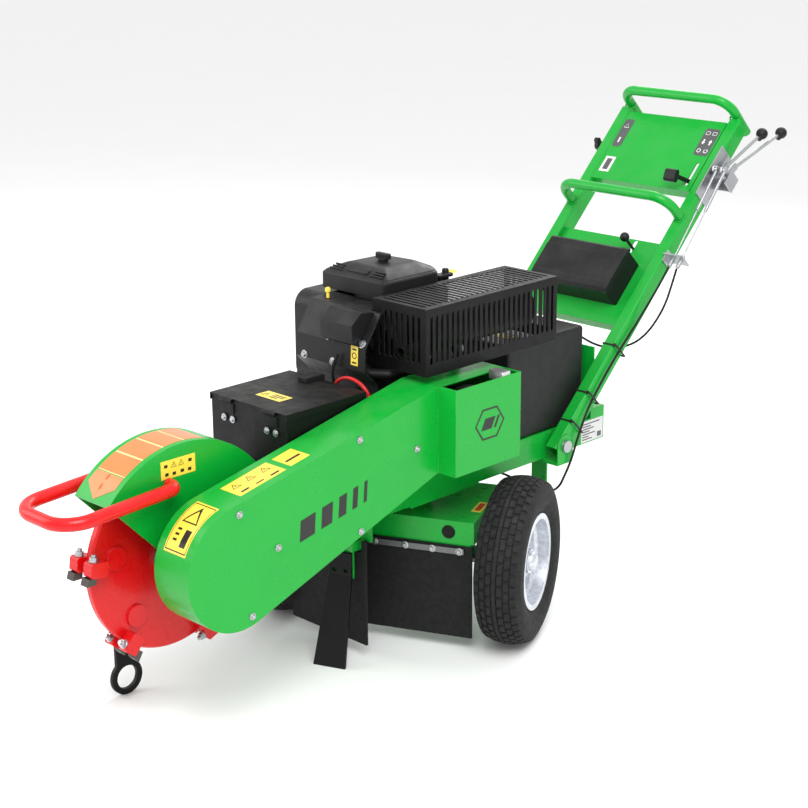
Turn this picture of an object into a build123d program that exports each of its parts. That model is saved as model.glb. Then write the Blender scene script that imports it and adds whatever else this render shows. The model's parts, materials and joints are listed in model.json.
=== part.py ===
from build123d import *
import os
from math import asin, atan2, cos, hypot, pi, radians, sin, tan

os.makedirs("parts", exist_ok=True)

# A walk-behind stump grinder. +Z up, cutting wheel towards -Y, handles towards +Y, belt side at +X.
# The origin is on the ground under the middle of the machine. Lengths along Y ("stations") are
# counted from the upright swing pivot of the axle, heights from the ground.

PIVOT_Y = -77.0  # swing pivot of the axle unit
FIT = 0.05  # radial running clearance of shafts in their bores
GAP = 1.0  # plain gap between neighbouring covers and plates

# frame
BEAM_OUT_X = 160.0
BEAM_WIDTH = 50.0
BEAM_LOW_Z = 385.0
BEAM_TOP_Z = 450.0
BEAM_FRONT = -206.0
BEAM_REAR = 560.0
TUBE_WALL = 3.0
DECK_THICK = 6.0
DECK_TOP_Z = BEAM_TOP_Z + DECK_THICK
REAR_END = 616.0
SHELF_FRONT = -490.0

# cutting wheel
CUTTER_Y = -745.0
CUTTER_Z = 410.0
DISC_R = 218.0
DISC_X0 = 8.0
DISC_X1 = 30.0
POCKETS = 6
POCKET_START = 172.0
SHAFT_R = 20.0

# belt drive
CRANK_Z = 600.0
DRIVEN_R = 106.0
DRIVE_R = 64.0
BELT_X = (178.0, 202.0)
BELT_W = 17.0
BELT_T = 11.0
PULLEY_X0 = 164.0
PULLEY_X1 = 216.0
COVER_X0 = 130.0
COVER_X1 = 245.0
BOX_X1 = 301.0
SHEET = 3.0

# guard over the cutting wheel
HOOD_Y = -738.0
HOOD_Z = 415.0
HOOD_R = 263.0
HOOD_X0 = -40.0
HOOD_X1 = 80.0

# engine
CRANK_R = 14.0
ENGINE_X0 = -150.0
ENGINE_X1 = 50.0
VEE_ANGLE = 45.0

# axle unit, turned against the frame by the swing angle
SWING = 24.4
PIN_R = 20.0
AXLE_Z = 210.0
AXLE_R = 12.5
TYRE_R = 210.0
TYRE_X = 313.0
TYRE_HALF_W = 60.0
HOUSING_X = 235.0
HOUSING_FRONT = -115.0
HOUSING_REAR = 170.0
HOUSING_TOP_Z = 336.0
HOUSING_LOW_Z = 279.0

# handle frame, which leans back at a steady slope
ARM_FOOT_Y = 400.0
ARM_FOOT_Z = 422.0
ARM_SLOPE = 45.0
ARM_X0 = 168.0
ARM_X1 = 203.0
ARM_HALF_H = 25.0
ARM_LENGTH = 1052.0
BAR_R = 13.5


def side(x, y=0.0, z=0.0):
    """Plane facing +X: sketch x is the station, sketch y the height."""
    return Plane(origin=(x, PIVOT_Y + y, z), x_dir=(0, 1, 0), z_dir=(1, 0, 0))


def level(z, x=0.0, y=0.0):
    """Plane facing +Z: sketch x is X, sketch y the station."""
    return Plane(origin=(x, PIVOT_Y + y, z))


def across(y, x=0.0, z=0.0):
    """Plane facing -Y, towards the cutting wheel: sketch x is X, sketch y the height."""
    return Plane(origin=(x, PIVOT_Y + y, z), x_dir=(1, 0, 0), z_dir=(0, -1, 0))


SWING_X = (cos(radians(SWING)), sin(radians(SWING)), 0)
SWING_Y = (-sin(radians(SWING)), cos(radians(SWING)), 0)
AXLE = Plane(origin=(0, PIVOT_Y, 0), x_dir=SWING_X, z_dir=(0, 0, 1))


def axle_side(x, y=0.0, z=0.0):
    """Plane of the turned axle unit, facing out along its own X."""
    return Plane(origin=AXLE.from_local_coords((x, y, z)), x_dir=SWING_Y, z_dir=SWING_X)


def axle_front(y, x=0.0, z=0.0):
    """Plane of the turned axle unit, facing its own front."""
    facing = tuple(-c for c in SWING_Y)
    return Plane(origin=AXLE.from_local_coords((x, y, z)), x_dir=SWING_X, z_dir=facing)


SLOPE_C = cos(radians(ARM_SLOPE))
SLOPE_S = sin(radians(ARM_SLOPE))


def handle(v, n, x=0.0):
    """Plane on the sloping handle frame, v up along the arms and n out of their upper faces."""
    y = PIVOT_Y + ARM_FOOT_Y + v * SLOPE_C - n * SLOPE_S
    z = ARM_FOOT_Z + v * SLOPE_S + n * SLOPE_C
    return Plane(origin=(x, y, z), x_dir=(1, 0, 0), z_dir=(0, -SLOPE_S, SLOPE_C))


def handle_side(x, v=0.0, n=0.0):
    """Plane facing +X whose sketch x runs up along the arms and sketch y along n."""
    on = handle(v, n, x)
    return Plane(origin=on.origin, x_dir=(0, SLOPE_C, SLOPE_S), z_dir=(1, 0, 0))


def handle_point(x, v, n):
    """A point given in the handle frame's own directions."""
    return handle(v, n, x).origin


def machine_point(x, y, z):
    """A point given by X, station and height."""
    return Vector(x, PIVOT_Y + y, z)


def route_radii(points):
    """Bend radii of a hose or cable: as large as its two runs allow at each corner."""
    radii = []
    for before, here, after in zip(points, points[1:], points[2:]):
        run_in, run_out = here - before, after - here
        turn = radians(run_in.get_angle(run_out))
        radii.append(0.45 * min(run_in.length, run_out.length) / tan(turn / 2))
    return radii


def tangent_point(centre, radius, outside, turn):
    """Where the line from an outside point touches a circle, on the side that turn (+1 or -1) picks."""
    away_y, away_z = outside[0] - centre[0], outside[1] - centre[1]
    reach = hypot(away_y, away_z)
    angle = atan2(away_z, away_y) + turn * (radians(90) - asin(radius / reach))
    return centre[0] + radius * cos(angle), centre[1] + radius * sin(angle)


# ---------------------------------------------------------------- frame

PLATE_X = 207.0
LUG_R = 30.0

with BuildPart() as side_beams:
    for sign in (1, -1):
        beam_x = sign * (BEAM_OUT_X - BEAM_WIDTH / 2)
        with BuildSketch(across(BEAM_REAR, beam_x, (BEAM_LOW_Z + BEAM_TOP_Z) / 2)):
            Rectangle(BEAM_WIDTH, BEAM_TOP_Z - BEAM_LOW_Z)
            Rectangle(BEAM_WIDTH - 2 * TUBE_WALL, BEAM_TOP_Z - BEAM_LOW_Z - 2 * TUBE_WALL, mode=Mode.SUBTRACT)
        extrude(amount=BEAM_REAR - BEAM_FRONT)
        # clevis that holds the foot of a handle arm
        with BuildSketch(side(sign * PLATE_X)):
            with Locations((ARM_FOOT_Y, ARM_FOOT_Z)):
                Circle(LUG_R)
            with Locations((ARM_FOOT_Y, 398)):
                Rectangle(2 * LUG_R, 48)
            with Locations((ARM_FOOT_Y, ARM_FOOT_Z)):
                Circle(10, mode=Mode.SUBTRACT)
        extrude(amount=-sign * (PLATE_X - ARM_X1 - GAP))
        with BuildSketch(level(374, sign * (PLATE_X + BEAM_OUT_X - BEAM_WIDTH) / 2, ARM_FOOT_Y)):
            Rectangle(PLATE_X - BEAM_OUT_X + BEAM_WIDTH, 2 * LUG_R)
        extrude(amount=8)
        with BuildSketch(level(380, sign * (BEAM_OUT_X - 10), ARM_FOOT_Y)):
            Rectangle(20, 2 * LUG_R)
        extrude(amount=BEAM_LOW_Z - 380 + 1)
        with BuildSketch(side(sign * BEAM_OUT_X, ARM_FOOT_Y, ARM_FOOT_Z)):
            Circle(10)
        extrude(amount=-sign * (TUBE_WALL + 1), mode=Mode.SUBTRACT)
side_beams.part.label = "side_beams"
export_step(side_beams.part, "parts/side_beams.step")

DECK_X1 = 124.0
SLEEVE_X = 28.0
SLEEVE_Z = 550.0

with BuildPart() as engine_deck:
    with BuildSketch(level(BEAM_TOP_Z, (DECK_X1 - BEAM_OUT_X) / 2, 133)):
        Rectangle(DECK_X1 + BEAM_OUT_X, 678)
    extrude(amount=DECK_THICK)
    with BuildSketch(level(BEAM_TOP_Z, 140, 303)):
        Rectangle(40, 338)
    extrude(amount=DECK_THICK)
    # rear cross tube with its upright stiffening plate
    with BuildSketch(side(-BEAM_OUT_X)):
        with Locations(((BEAM_REAR + REAR_END) / 2, (BEAM_LOW_Z + 476) / 2)):
            Rectangle(REAR_END - BEAM_REAR, 476 - BEAM_LOW_Z)
    extrude(amount=2 * BEAM_OUT_X)
    with BuildSketch(across(BEAM_REAR + 10, 0, 560)):
        Rectangle(2 * BEAM_OUT_X, 168)
    extrude(amount=5)
    # sleeve that takes the end of the swing cable
    with BuildSketch(across(BEAM_REAR + 5, SLEEVE_X, SLEEVE_Z)):
        Circle(7)
    extrude(amount=5)
    # strip that hangs from the deck between the beams
    with BuildSketch(across(452, 80, 360)):
        Rectangle(50, 2 * (BEAM_TOP_Z - 360))
    extrude(amount=DECK_THICK)
    # plate that carries the swing pin under the beams
    with BuildSketch(level(BEAM_LOW_Z - DECK_THICK)):
        Rectangle(2 * BEAM_OUT_X, 240)
    extrude(amount=DECK_THICK)
    with BuildSketch(level(BEAM_LOW_Z)):
        Circle(45)
    extrude(amount=BEAM_TOP_Z - BEAM_LOW_Z)
    with BuildSketch(level(BEAM_LOW_Z - DECK_THICK)):
        Circle(PIN_R)
    extrude(amount=40, mode=Mode.SUBTRACT)
engine_deck.part.label = "engine_deck"
export_step(engine_deck.part, "parts/engine_deck.step")

with BuildPart() as swing_pin:
    with BuildSketch(level(HOUSING_LOW_Z + 8)):
        Circle(PIN_R)
    extrude(amount=BEAM_LOW_Z - HOUSING_LOW_Z - 8 - DECK_THICK + 40)
    with BuildSketch(level(HOUSING_LOW_Z)):
        RegularPolygon(28, 6)
    extrude(amount=8)
    chamfer(swing_pin.edges().sort_by(Axis.Z)[0:6], 2)
swing_pin.part.label = "swing_pin"
export_step(swing_pin.part, "parts/swing_pin.step")

SHELF_Z = 470.0
SHELF_NOTCH = 12.0
FLAP_Y = -219.0
FLAP_THICK = 6.0
FLAP_X0 = -160.0
FLAP_X1 = 107.0
PROP_X = 48.0
PROP_YAW = 22.0
PROP = Plane(origin=(PROP_X, PIVOT_Y - 246, 0), x_dir=(cos(radians(PROP_YAW)), sin(radians(PROP_YAW)), 0),
             z_dir=(sin(radians(PROP_YAW)), -cos(radians(PROP_YAW)), 0))

with BuildPart() as front_shelf:
    # tray under the battery box, folded down at its edges
    with BuildSketch(level(SHELF_Z, (DECK_X1 - BEAM_OUT_X) / 2, (SHELF_FRONT - 207) / 2)):
        Rectangle(DECK_X1 + BEAM_OUT_X, -207 - SHELF_FRONT)
    extrude(amount=DECK_THICK)
    # notch that clears the round guard
    with BuildSketch(level(SHELF_Z, (HOOD_X0 + HOOD_X1) / 2, SHELF_FRONT)):
        Rectangle(HOOD_X1 - HOOD_X0 + 8, 2 * SHELF_NOTCH)
    extrude(amount=DECK_THICK, mode=Mode.SUBTRACT)
    with BuildSketch(side(-BEAM_OUT_X)):
        with Locations(((SHELF_FRONT - 207) / 2, 430)):
            Rectangle(-207 - SHELF_FRONT, 86)
    extrude(amount=DECK_THICK)
    # cross plate behind which the beams end and below which the flap hangs
    with BuildSketch(across(BEAM_FRONT - GAP, (FLAP_X1 - 158) / 2 + 8, 388)):
        Rectangle(FLAP_X1 + 158, 164)
    extrude(amount=DECK_THICK)
    # bracket of the parking blade
    with BuildSketch(level(282, PROP_X + 4, -228)):
        Rectangle(66, 40)
    extrude(amount=24)
    with BuildSketch(PROP):
        with Locations((0, 250)):
            Rectangle(66, 80)
    extrude(amount=DECK_THICK)
    with BuildSketch(PROP):
        with Locations((0, 232)):
            with GridLocations(30, 1, 2, 1):
                Circle(6)
    extrude(amount=DECK_THICK, mode=Mode.SUBTRACT)
front_shelf.part.label = "front_shelf"
export_step(front_shelf.part, "parts/front_shelf.step")

with BuildPart() as debris_flap:
    with BuildSketch(across(FLAP_Y, (FLAP_X0 + FLAP_X1) / 2, 172)):
        Rectangle(FLAP_X1 - FLAP_X0, 270)
        with Locations((PROP_X - (FLAP_X0 + FLAP_X1) / 2, 135)):
            Rectangle(90, 60, mode=Mode.SUBTRACT)
    extrude(amount=FLAP_THICK)
debris_flap.part.label = "debris_flap"
export_step(debris_flap.part, "parts/debris_flap.step")

BLADE_LEAN = 17.0
BLADE_WIDTH = 84.0
BLADE_THICK = 8.0

with BuildPart() as prop_blade:
    with BuildSketch(PROP.offset(DECK_THICK + GAP / 2)):
        with Locations((0, 247)):
            Rectangle(60, 60)
        with Locations((0, 232)):
            with GridLocations(30, 1, 2, 1):
                Circle(6, mode=Mode.SUBTRACT)
    extrude(amount=BLADE_THICK)
    with BuildSketch(Plane(origin=PROP.from_local_coords((0, 217, DECK_THICK + GAP / 2)),
                           x_dir=PROP.x_dir, z_dir=(0, 0, -1))) as blade_top:
        with Locations((0, BLADE_THICK / 2)):
            Rectangle(60, BLADE_THICK)
    with BuildSketch(Plane(origin=PROP.from_local_coords((-6, 0, 217 * tan(radians(BLADE_LEAN)))),
                           x_dir=PROP.x_dir, z_dir=(0, 0, -1))) as blade_foot:
        with Locations((0, BLADE_THICK / 2)):
            Rectangle(BLADE_WIDTH, BLADE_THICK)
    loft(sections=[blade_top.sketch, blade_foot.sketch])
prop_blade.part.label = "prop_blade"
export_step(prop_blade.part, "parts/prop_blade.step")

STRUT_X = -BEAM_OUT_X - 10.0
STRUT_THICK = 10.0
RING_Y = -742.0
RING_R = 43.0

with BuildPart() as ring_strut:
    with BuildSketch(side(STRUT_X - STRUT_THICK / 2)):
        with BuildLine():
            Polyline(
                (RING_Y - 28, 60), (RING_Y - 28, 190), (-480, 470), (-420, 470),
                (-420, 410), (-470, 410), (RING_Y + 28, 170), (RING_Y + 28, 60), close=True)
        make_face()
        with Locations((RING_Y, RING_R)):
            Circle(RING_R)
        with Locations((RING_Y, RING_R)):
            Circle(RING_R - 14, mode=Mode.SUBTRACT)
    extrude(amount=STRUT_THICK)
    with BuildSketch(side(STRUT_X + STRUT_THICK / 2)):
        with Locations((-450, 440)):
            Circle(16)
    extrude(amount=-STRUT_X - STRUT_THICK / 2 - BEAM_OUT_X - GAP / 2)
ring_strut.part.label = "ring_strut"
export_step(ring_strut.part, "parts/ring_strut.step")

# ---------------------------------------------------------------- belt drive and its cover

NOSE_C = (-727.0, 429.0)
NOSE_R = 143.0
COVER_REAR = -116.0
BOX_REAR = 112.0
COVER_TOP_Z = 702.0
COVER_LOW_Z = 490.0


def cover_points(shrink):
    """Corners of the sloping belt cover's outline moved in by shrink: rear ends, then nose tangents."""
    radius = NOSE_R - shrink
    top_end = (COVER_REAR, COVER_TOP_Z - shrink)
    low_end = (COVER_REAR, COVER_LOW_Z + shrink)
    top_touch = tangent_point(NOSE_C, radius, top_end, 1)
    low_touch = tangent_point(NOSE_C, radius, low_end, -1)
    return low_end, top_end, top_touch, (NOSE_C[0] - radius, NOSE_C[1]), low_touch


def box_outline(shrink):
    """Outline of the boxed rear of the belt cover in the current sketch, moved in by shrink."""
    with Locations(((COVER_REAR + BOX_REAR) / 2, (COVER_TOP_Z + COVER_LOW_Z) / 2)):
        Rectangle(BOX_REAR - COVER_REAR - 2 * shrink, COVER_TOP_Z - COVER_LOW_Z - 2 * shrink)


def joint_outline(shrink):
    """Strip across the line where the sloping cover meets its boxed rear."""
    with Locations((COVER_REAR, (COVER_TOP_Z + COVER_LOW_Z) / 2)):
        Rectangle(4 * SHEET, COVER_TOP_Z - COVER_LOW_Z - 2 * shrink)


with BuildPart() as belt_cover:
    with BuildSketch(side(COVER_X0)):
        with BuildLine():
            low_end, top_end, top_touch, nose, low_touch = cover_points(0)
            Polyline(low_touch, low_end, top_end, top_touch)
            ThreePointArc(top_touch, nose, low_touch)
        make_face()
        box_outline(0)
    extrude(amount=COVER_X1 - COVER_X0)
    with BuildSketch(side(COVER_X1)):
        box_outline(0)
    extrude(amount=BOX_X1 - COVER_X1)
    with BuildSketch(side(COVER_X0)):
        with BuildLine():
            low_end, top_end, top_touch, nose, low_touch = cover_points(SHEET)
            Polyline(low_touch, low_end, top_end, top_touch)
            ThreePointArc(top_touch, nose, low_touch)
        make_face()
        box_outline(SHEET)
        joint_outline(SHEET)
    extrude(amount=COVER_X1 - COVER_X0 - SHEET, mode=Mode.SUBTRACT)
    with BuildSketch(side(COVER_X0)):
        box_outline(SHEET)
    extrude(amount=BOX_X1 - COVER_X0 - SHEET, mode=Mode.SUBTRACT)
    # the box is open at its top, under the exhaust guard
    with BuildSketch(level(COVER_TOP_Z - 2 * SHEET, (COVER_X1 + BOX_X1) / 2, (COVER_REAR + BOX_REAR) / 2)):
        Rectangle(BOX_X1 - COVER_X1 - 2 * SHEET, BOX_REAR - COVER_REAR - 4 * SHEET)
    extrude(amount=2 * SHEET, mode=Mode.SUBTRACT)
belt_cover.part.label = "belt_cover"
export_step(belt_cover.part, "parts/belt_cover.step")

BOOM_X0 = 82.0
BOOM_X1 = 126.0
BEARING_R = 58.0

with BuildPart() as boom:
    with BuildSketch(side(BOOM_X0)):
        with BuildLine():
            Polyline(
                (CUTTER_Y, CUTTER_Z - 42), (-214, 388), (-214, 466), (CUTTER_Y, CUTTER_Z + 42), close=True)
        make_face()
        with Locations((CUTTER_Y, CUTTER_Z)):
            Circle(BEARING_R)
    extrude(amount=BOOM_X1 - BOOM_X0)
    # wall behind the belts, closing the cover
    with BuildSketch(side(BOOM_X1)):
        with BuildLine():
            low_end, top_end, top_touch, nose, low_touch = cover_points(SHEET + GAP)
            Polyline(low_touch, low_end, top_end, top_touch)
            ThreePointArc(top_touch, nose, low_touch)
        make_face()
        box_outline(SHEET + GAP)
        joint_outline(SHEET + GAP)
        with Locations((0, CRANK_Z)):
            Circle(40, mode=Mode.SUBTRACT)
    extrude(amount=COVER_X0 - BOOM_X1 - GAP / 2)
    with BuildSketch(side(BOOM_X0)):
        with Locations((CUTTER_Y, CUTTER_Z)):
            Circle(BEARING_R - 18)
    extrude(amount=COVER_X0 - BOOM_X0, mode=Mode.SUBTRACT)
boom.part.label = "boom"
export_step(boom.part, "parts/boom.step")

with BuildPart() as shaft_bearings:
    for x in (BOOM_X0, BOOM_X1 - 14):
        with BuildSketch(side(x, CUTTER_Y, CUTTER_Z)):
            Circle(BEARING_R - 18)
            Circle(SHAFT_R + FIT, mode=Mode.SUBTRACT)
        extrude(amount=14)
shaft_bearings.part.label = "shaft_bearings"
export_step(shaft_bearings.part, "parts/shaft_bearings.step")


def pulley_profile(radius, bore):
    """Half section of a pulley: first number along the shaft, second outwards from its axis."""
    floor_r = radius - BELT_T - 0.5
    half = BELT_W / 2
    points = [(PULLEY_X0, bore), (PULLEY_X0, radius)]
    for x in BELT_X:
        points += [(x - half, radius), (x - half + 2, floor_r), (x + half - 2, floor_r), (x + half, radius)]
    return points + [(PULLEY_X1, radius), (PULLEY_X1, bore)]


def shaft_section(y, z):
    """Plane holding a shaft's half section: sketch x along +X, sketch y up from the shaft's axis."""
    return Plane(origin=(0, PIVOT_Y + y, z), x_dir=(1, 0, 0), z_dir=(0, -1, 0))


def shaft_axis(y, z):
    """Axis of a shaft that lies across the machine."""
    return Axis((0, PIVOT_Y + y, z), (1, 0, 0))


with BuildPart() as driven_pulley:
    with BuildSketch(shaft_section(CUTTER_Y, CUTTER_Z)):
        with BuildLine():
            Polyline(*pulley_profile(DRIVEN_R, SHAFT_R), close=True)
        make_face()
    revolve(axis=shaft_axis(CUTTER_Y, CUTTER_Z))
    with BuildSketch(side(PULLEY_X0, CUTTER_Y, CUTTER_Z)):
        with PolarLocations(58, 6):
            Circle(17)
    extrude(amount=PULLEY_X1 - PULLEY_X0, mode=Mode.SUBTRACT)
driven_pulley.part.label = "driven_pulley"
export_step(driven_pulley.part, "parts/driven_pulley.step")

with BuildPart() as drive_pulley:
    with BuildSketch(shaft_section(0, CRANK_Z)):
        with BuildLine():
            Polyline(*pulley_profile(DRIVE_R, CRANK_R), close=True)
        make_face()
    revolve(axis=shaft_axis(0, CRANK_Z))
    # electric clutch behind the pulley
    with BuildSketch(side(PULLEY_X1, 0, CRANK_Z)):
        Circle(76)
        Circle(CRANK_R, mode=Mode.SUBTRACT)
    extrude(amount=48)
    fillet(drive_pulley.edges().filter_by(GeomType.CIRCLE).sort_by(Axis.X)[-2], 5)
drive_pulley.part.label = "drive_pulley"
export_step(drive_pulley.part, "parts/drive_pulley.step")


def belt_points(grow):
    """Belt outline round both pulleys, grown outwards from their grooves: four ends, two arc middles."""
    small, large = DRIVE_R - BELT_T + grow, DRIVEN_R - BELT_T + grow
    span = hypot(CUTTER_Y, CUTTER_Z - CRANK_Z)
    tilt = atan2(CUTTER_Z - CRANK_Z, CUTTER_Y)
    spread = radians(90) - asin((large - small) / span)
    points = []
    for turn in (1, -1):
        angle = tilt + turn * (radians(180) - spread)
        unit = (cos(angle), sin(angle))
        points.append((unit[0] * small, CRANK_Z + unit[1] * small))
        points.append((CUTTER_Y + unit[0] * large, CUTTER_Z + unit[1] * large))
    points.append((CUTTER_Y + cos(tilt) * large, CUTTER_Z + sin(tilt) * large))
    points.append((-cos(tilt) * small, CRANK_Z - sin(tilt) * small))
    return points


with BuildPart() as drive_belts:
    for x in BELT_X:
        with BuildSketch(side(x - BELT_W / 2 + 2.5)):
            for grow, mode in ((BELT_T, Mode.ADD), (0, Mode.SUBTRACT)):
                upper_0, upper_1, lower_0, lower_1, large_mid, small_mid = belt_points(grow)
                with BuildLine():
                    Line(upper_0, upper_1)
                    ThreePointArc(upper_1, large_mid, lower_1)
                    Line(lower_1, lower_0)
                    ThreePointArc(lower_0, small_mid, upper_0)
                make_face(mode=mode)
        extrude(amount=BELT_W - 5)
drive_belts.part.label = "drive_belts"
export_step(drive_belts.part, "parts/drive_belts.step")

# ---------------------------------------------------------------- cutting wheel

WHEEL = Plane(origin=(0, PIVOT_Y + CUTTER_Y, CUTTER_Z), x_dir=(0, 1, 0), z_dir=(1, 0, 0))
POCKET_R = 214.0
POCKET_SIZE = (46.0, 34.0, 28.0)
TOOTH_OUT = 7.0
TOOTH_FOOT = POCKET_SIZE[1] / 2 + 0.3

with BuildPart() as cutter_shaft:
    with BuildSketch(WHEEL.offset(DISC_X1)):
        Circle(52)
    extrude(amount=14)
    with BuildSketch(WHEEL.offset(-14)):
        Circle(SHAFT_R)
    extrude(amount=14 + PULLEY_X1 + 12)
    with BuildSketch(WHEEL.offset(-26)):
        RegularPolygon(30, 6)
    extrude(amount=12)
    with BuildSketch(WHEEL.offset(PULLEY_X1)):
        RegularPolygon(28, 6)
    extrude(amount=14)
cutter_shaft.part.label = "cutter_shaft"
export_step(cutter_shaft.part, "parts/cutter_shaft.step")

with BuildPart(WHEEL) as cutter_disc:
    with BuildSketch(WHEEL.offset(DISC_X0)):
        Circle(DISC_R)
    extrude(amount=DISC_X1 - DISC_X0)
    chamfer(cutter_disc.edges().filter_by(GeomType.CIRCLE), 4)
    # bosses welded on both faces between the rim and the hub
    for x in (DISC_X0 - 6, DISC_X1):
        with BuildSketch(WHEEL.offset(x)):
            with PolarLocations(156, POCKETS, start_angle=POCKET_START - 4):
                Circle(26)
        extrude(amount=6)
    with BuildSketch(WHEEL.offset(-8)):
        Circle(62)
    extrude(amount=16)
    with BuildSketch(WHEEL.offset(-20)):
        Circle(SHAFT_R)
        with PolarLocations(41, 6):
            Circle(6)
    extrude(amount=70, mode=Mode.SUBTRACT)
cutter_disc.part.label = "cutter_disc"
export_step(cutter_disc.part, "parts/cutter_disc.step")

NEAR_X = DISC_X1 + POCKET_SIZE[2] / 2 + 0.2
FAR_X = DISC_X0 - POCKET_SIZE[2] / 2 - 0.2

with BuildPart() as cutter_pockets:
    for x in (NEAR_X, FAR_X):
        with BuildSketch(WHEEL.offset(x - POCKET_SIZE[2] / 2)):
            with PolarLocations(POCKET_R, POCKETS, start_angle=POCKET_START):
                RectangleRounded(POCKET_SIZE[0], POCKET_SIZE[1], 7)
        extrude(amount=POCKET_SIZE[2])
cutter_pockets.part.label = "cutter_pockets"
export_step(cutter_pockets.part, "parts/cutter_pockets.step")

with BuildPart() as cutter_teeth:
    for x in (NEAR_X, FAR_X):
        with BuildSketch(WHEEL.offset(x - 12)):
            with PolarLocations(POCKET_R, POCKETS, start_angle=POCKET_START):
                Polygon((6, TOOTH_FOOT), (POCKET_SIZE[0] / 2 + TOOTH_OUT - 3, TOOTH_FOOT),
                        (POCKET_SIZE[0] / 2 + TOOTH_OUT, 34), (6, 31), align=None)
        extrude(amount=24)
cutter_teeth.part.label = "cutter_teeth"
export_step(cutter_teeth.part, "parts/cutter_teeth.step")


def wheel_station(index, radial, x):
    """Plane at one pocket, facing back along the direction of cutting."""
    angle = radians(POCKET_START + index * 360 / POCKETS)
    out = Vector(0, cos(angle), sin(angle))
    behind = Vector(0, sin(angle), -cos(angle))
    origin = WHEEL.origin + out * radial + behind * (POCKET_SIZE[1] / 2 + 0.2) + Vector(x, 0, 0)
    return Plane(origin=origin, x_dir=(1, 0, 0), z_dir=behind)


with BuildPart() as cutter_bolts:
    for index in range(POCKETS):
        for x in (NEAR_X, FAR_X):
            with BuildSketch(wheel_station(index, POCKET_R + 9, x)):
                Circle(10.5)
            extrude(amount=2)
            with BuildSketch(wheel_station(index, POCKET_R + 9, x).offset(2)):
                RegularPolygon(9, 6)
            extrude(amount=8)
            with BuildSketch(wheel_station(index, POCKET_R + 9, x).offset(10)):
                Circle(5)
            extrude(amount=6)
cutter_bolts.part.label = "cutter_bolts"
export_step(cutter_bolts.part, "parts/cutter_bolts.step")

HOOD_SHEET = 4.0
HOOD_FRONT = 141.0
HOOD_REAR = -24.0


def on_hood(angle, radius):
    """A point of the guard's rim, by its angle seen from the belt side."""
    return HOOD_Y + radius * cos(radians(angle)), HOOD_Z + radius * sin(radians(angle))


GRIP_Z = 584.0
GRIP_PIVOT = -788.0
GRIP_PIN_Z = GRIP_Z + 12.0
GRIP_PIN_R = 7.0

with BuildPart() as cutter_guard:
    with BuildSketch(side(HOOD_X0)):
        with BuildLine():
            front, rear = on_hood(HOOD_FRONT, HOOD_R), on_hood(HOOD_REAR, HOOD_R)
            ThreePointArc(front, on_hood(90, HOOD_R), rear)
            Polyline(rear, (-640, 322), (-772, 405), front)
        make_face()
    extrude(amount=HOOD_X1 - HOOD_X0)
    with BuildSketch(side(HOOD_X0 + HOOD_SHEET)):
        with Locations((HOOD_Y, HOOD_Z)):
            Circle(HOOD_R - HOOD_SHEET)
    extrude(amount=HOOD_X1 - HOOD_X0 - 2 * HOOD_SHEET, mode=Mode.SUBTRACT)
    with BuildSketch(side(HOOD_X0, CUTTER_Y, CUTTER_Z)):
        Circle(72)
    extrude(amount=HOOD_X1 - HOOD_X0, mode=Mode.SUBTRACT)
    # holes for the pivots of the front handle
    with BuildSketch(side(HOOD_X0, GRIP_PIVOT, GRIP_PIN_Z)):
        Circle(GRIP_PIN_R + FIT)
    extrude(amount=HOOD_X1 - HOOD_X0, mode=Mode.SUBTRACT)
cutter_guard.part.label = "cutter_guard"
export_step(cutter_guard.part, "parts/cutter_guard.step")

GRIP_R = 15.0
GRIP_X0 = -77.0
GRIP_X1 = 111.0
GRIP_FRONT = -1072.0

with BuildPart() as guard_handle:
    with BuildLine() as grip_path:
        FilletPolyline(
            machine_point(HOOD_X1 + 5, GRIP_PIVOT, GRIP_PIN_Z),
            machine_point(GRIP_X1, GRIP_PIVOT + 4, GRIP_Z + 10),
            machine_point(GRIP_X1, GRIP_FRONT, GRIP_Z - 6),
            machine_point(GRIP_X0, GRIP_FRONT, GRIP_Z - 6),
            machine_point(GRIP_X0, GRIP_PIVOT + 4, GRIP_Z + 10),
            machine_point(HOOD_X0 - 5, GRIP_PIVOT, GRIP_PIN_Z),
            radius=[16, 66, 66, 16])
    with BuildSketch(grip_path.line ^ 0):
        Circle(GRIP_R)
    sweep()
    for x in (HOOD_X1 - 10, HOOD_X0 - 14):
        with BuildSketch(side(x, GRIP_PIVOT, GRIP_PIN_Z)):
            Circle(GRIP_PIN_R)
        extrude(amount=24)
guard_handle.part.label = "guard_handle"
export_step(guard_handle.part, "parts/guard_handle.step")

# ---------------------------------------------------------------- engine

CYLINDER_X = -45.0
BARREL_FOOT = 95.0
HEAD_FOOT = 195.0
HEAD_TOP = 222.0
FIN_R = 52.0
FIN_PITCH = 9.0
SHROUD_SHEET = 4.0
COWL_X0 = -232.0
COWL_X1 = -154.0

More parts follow.
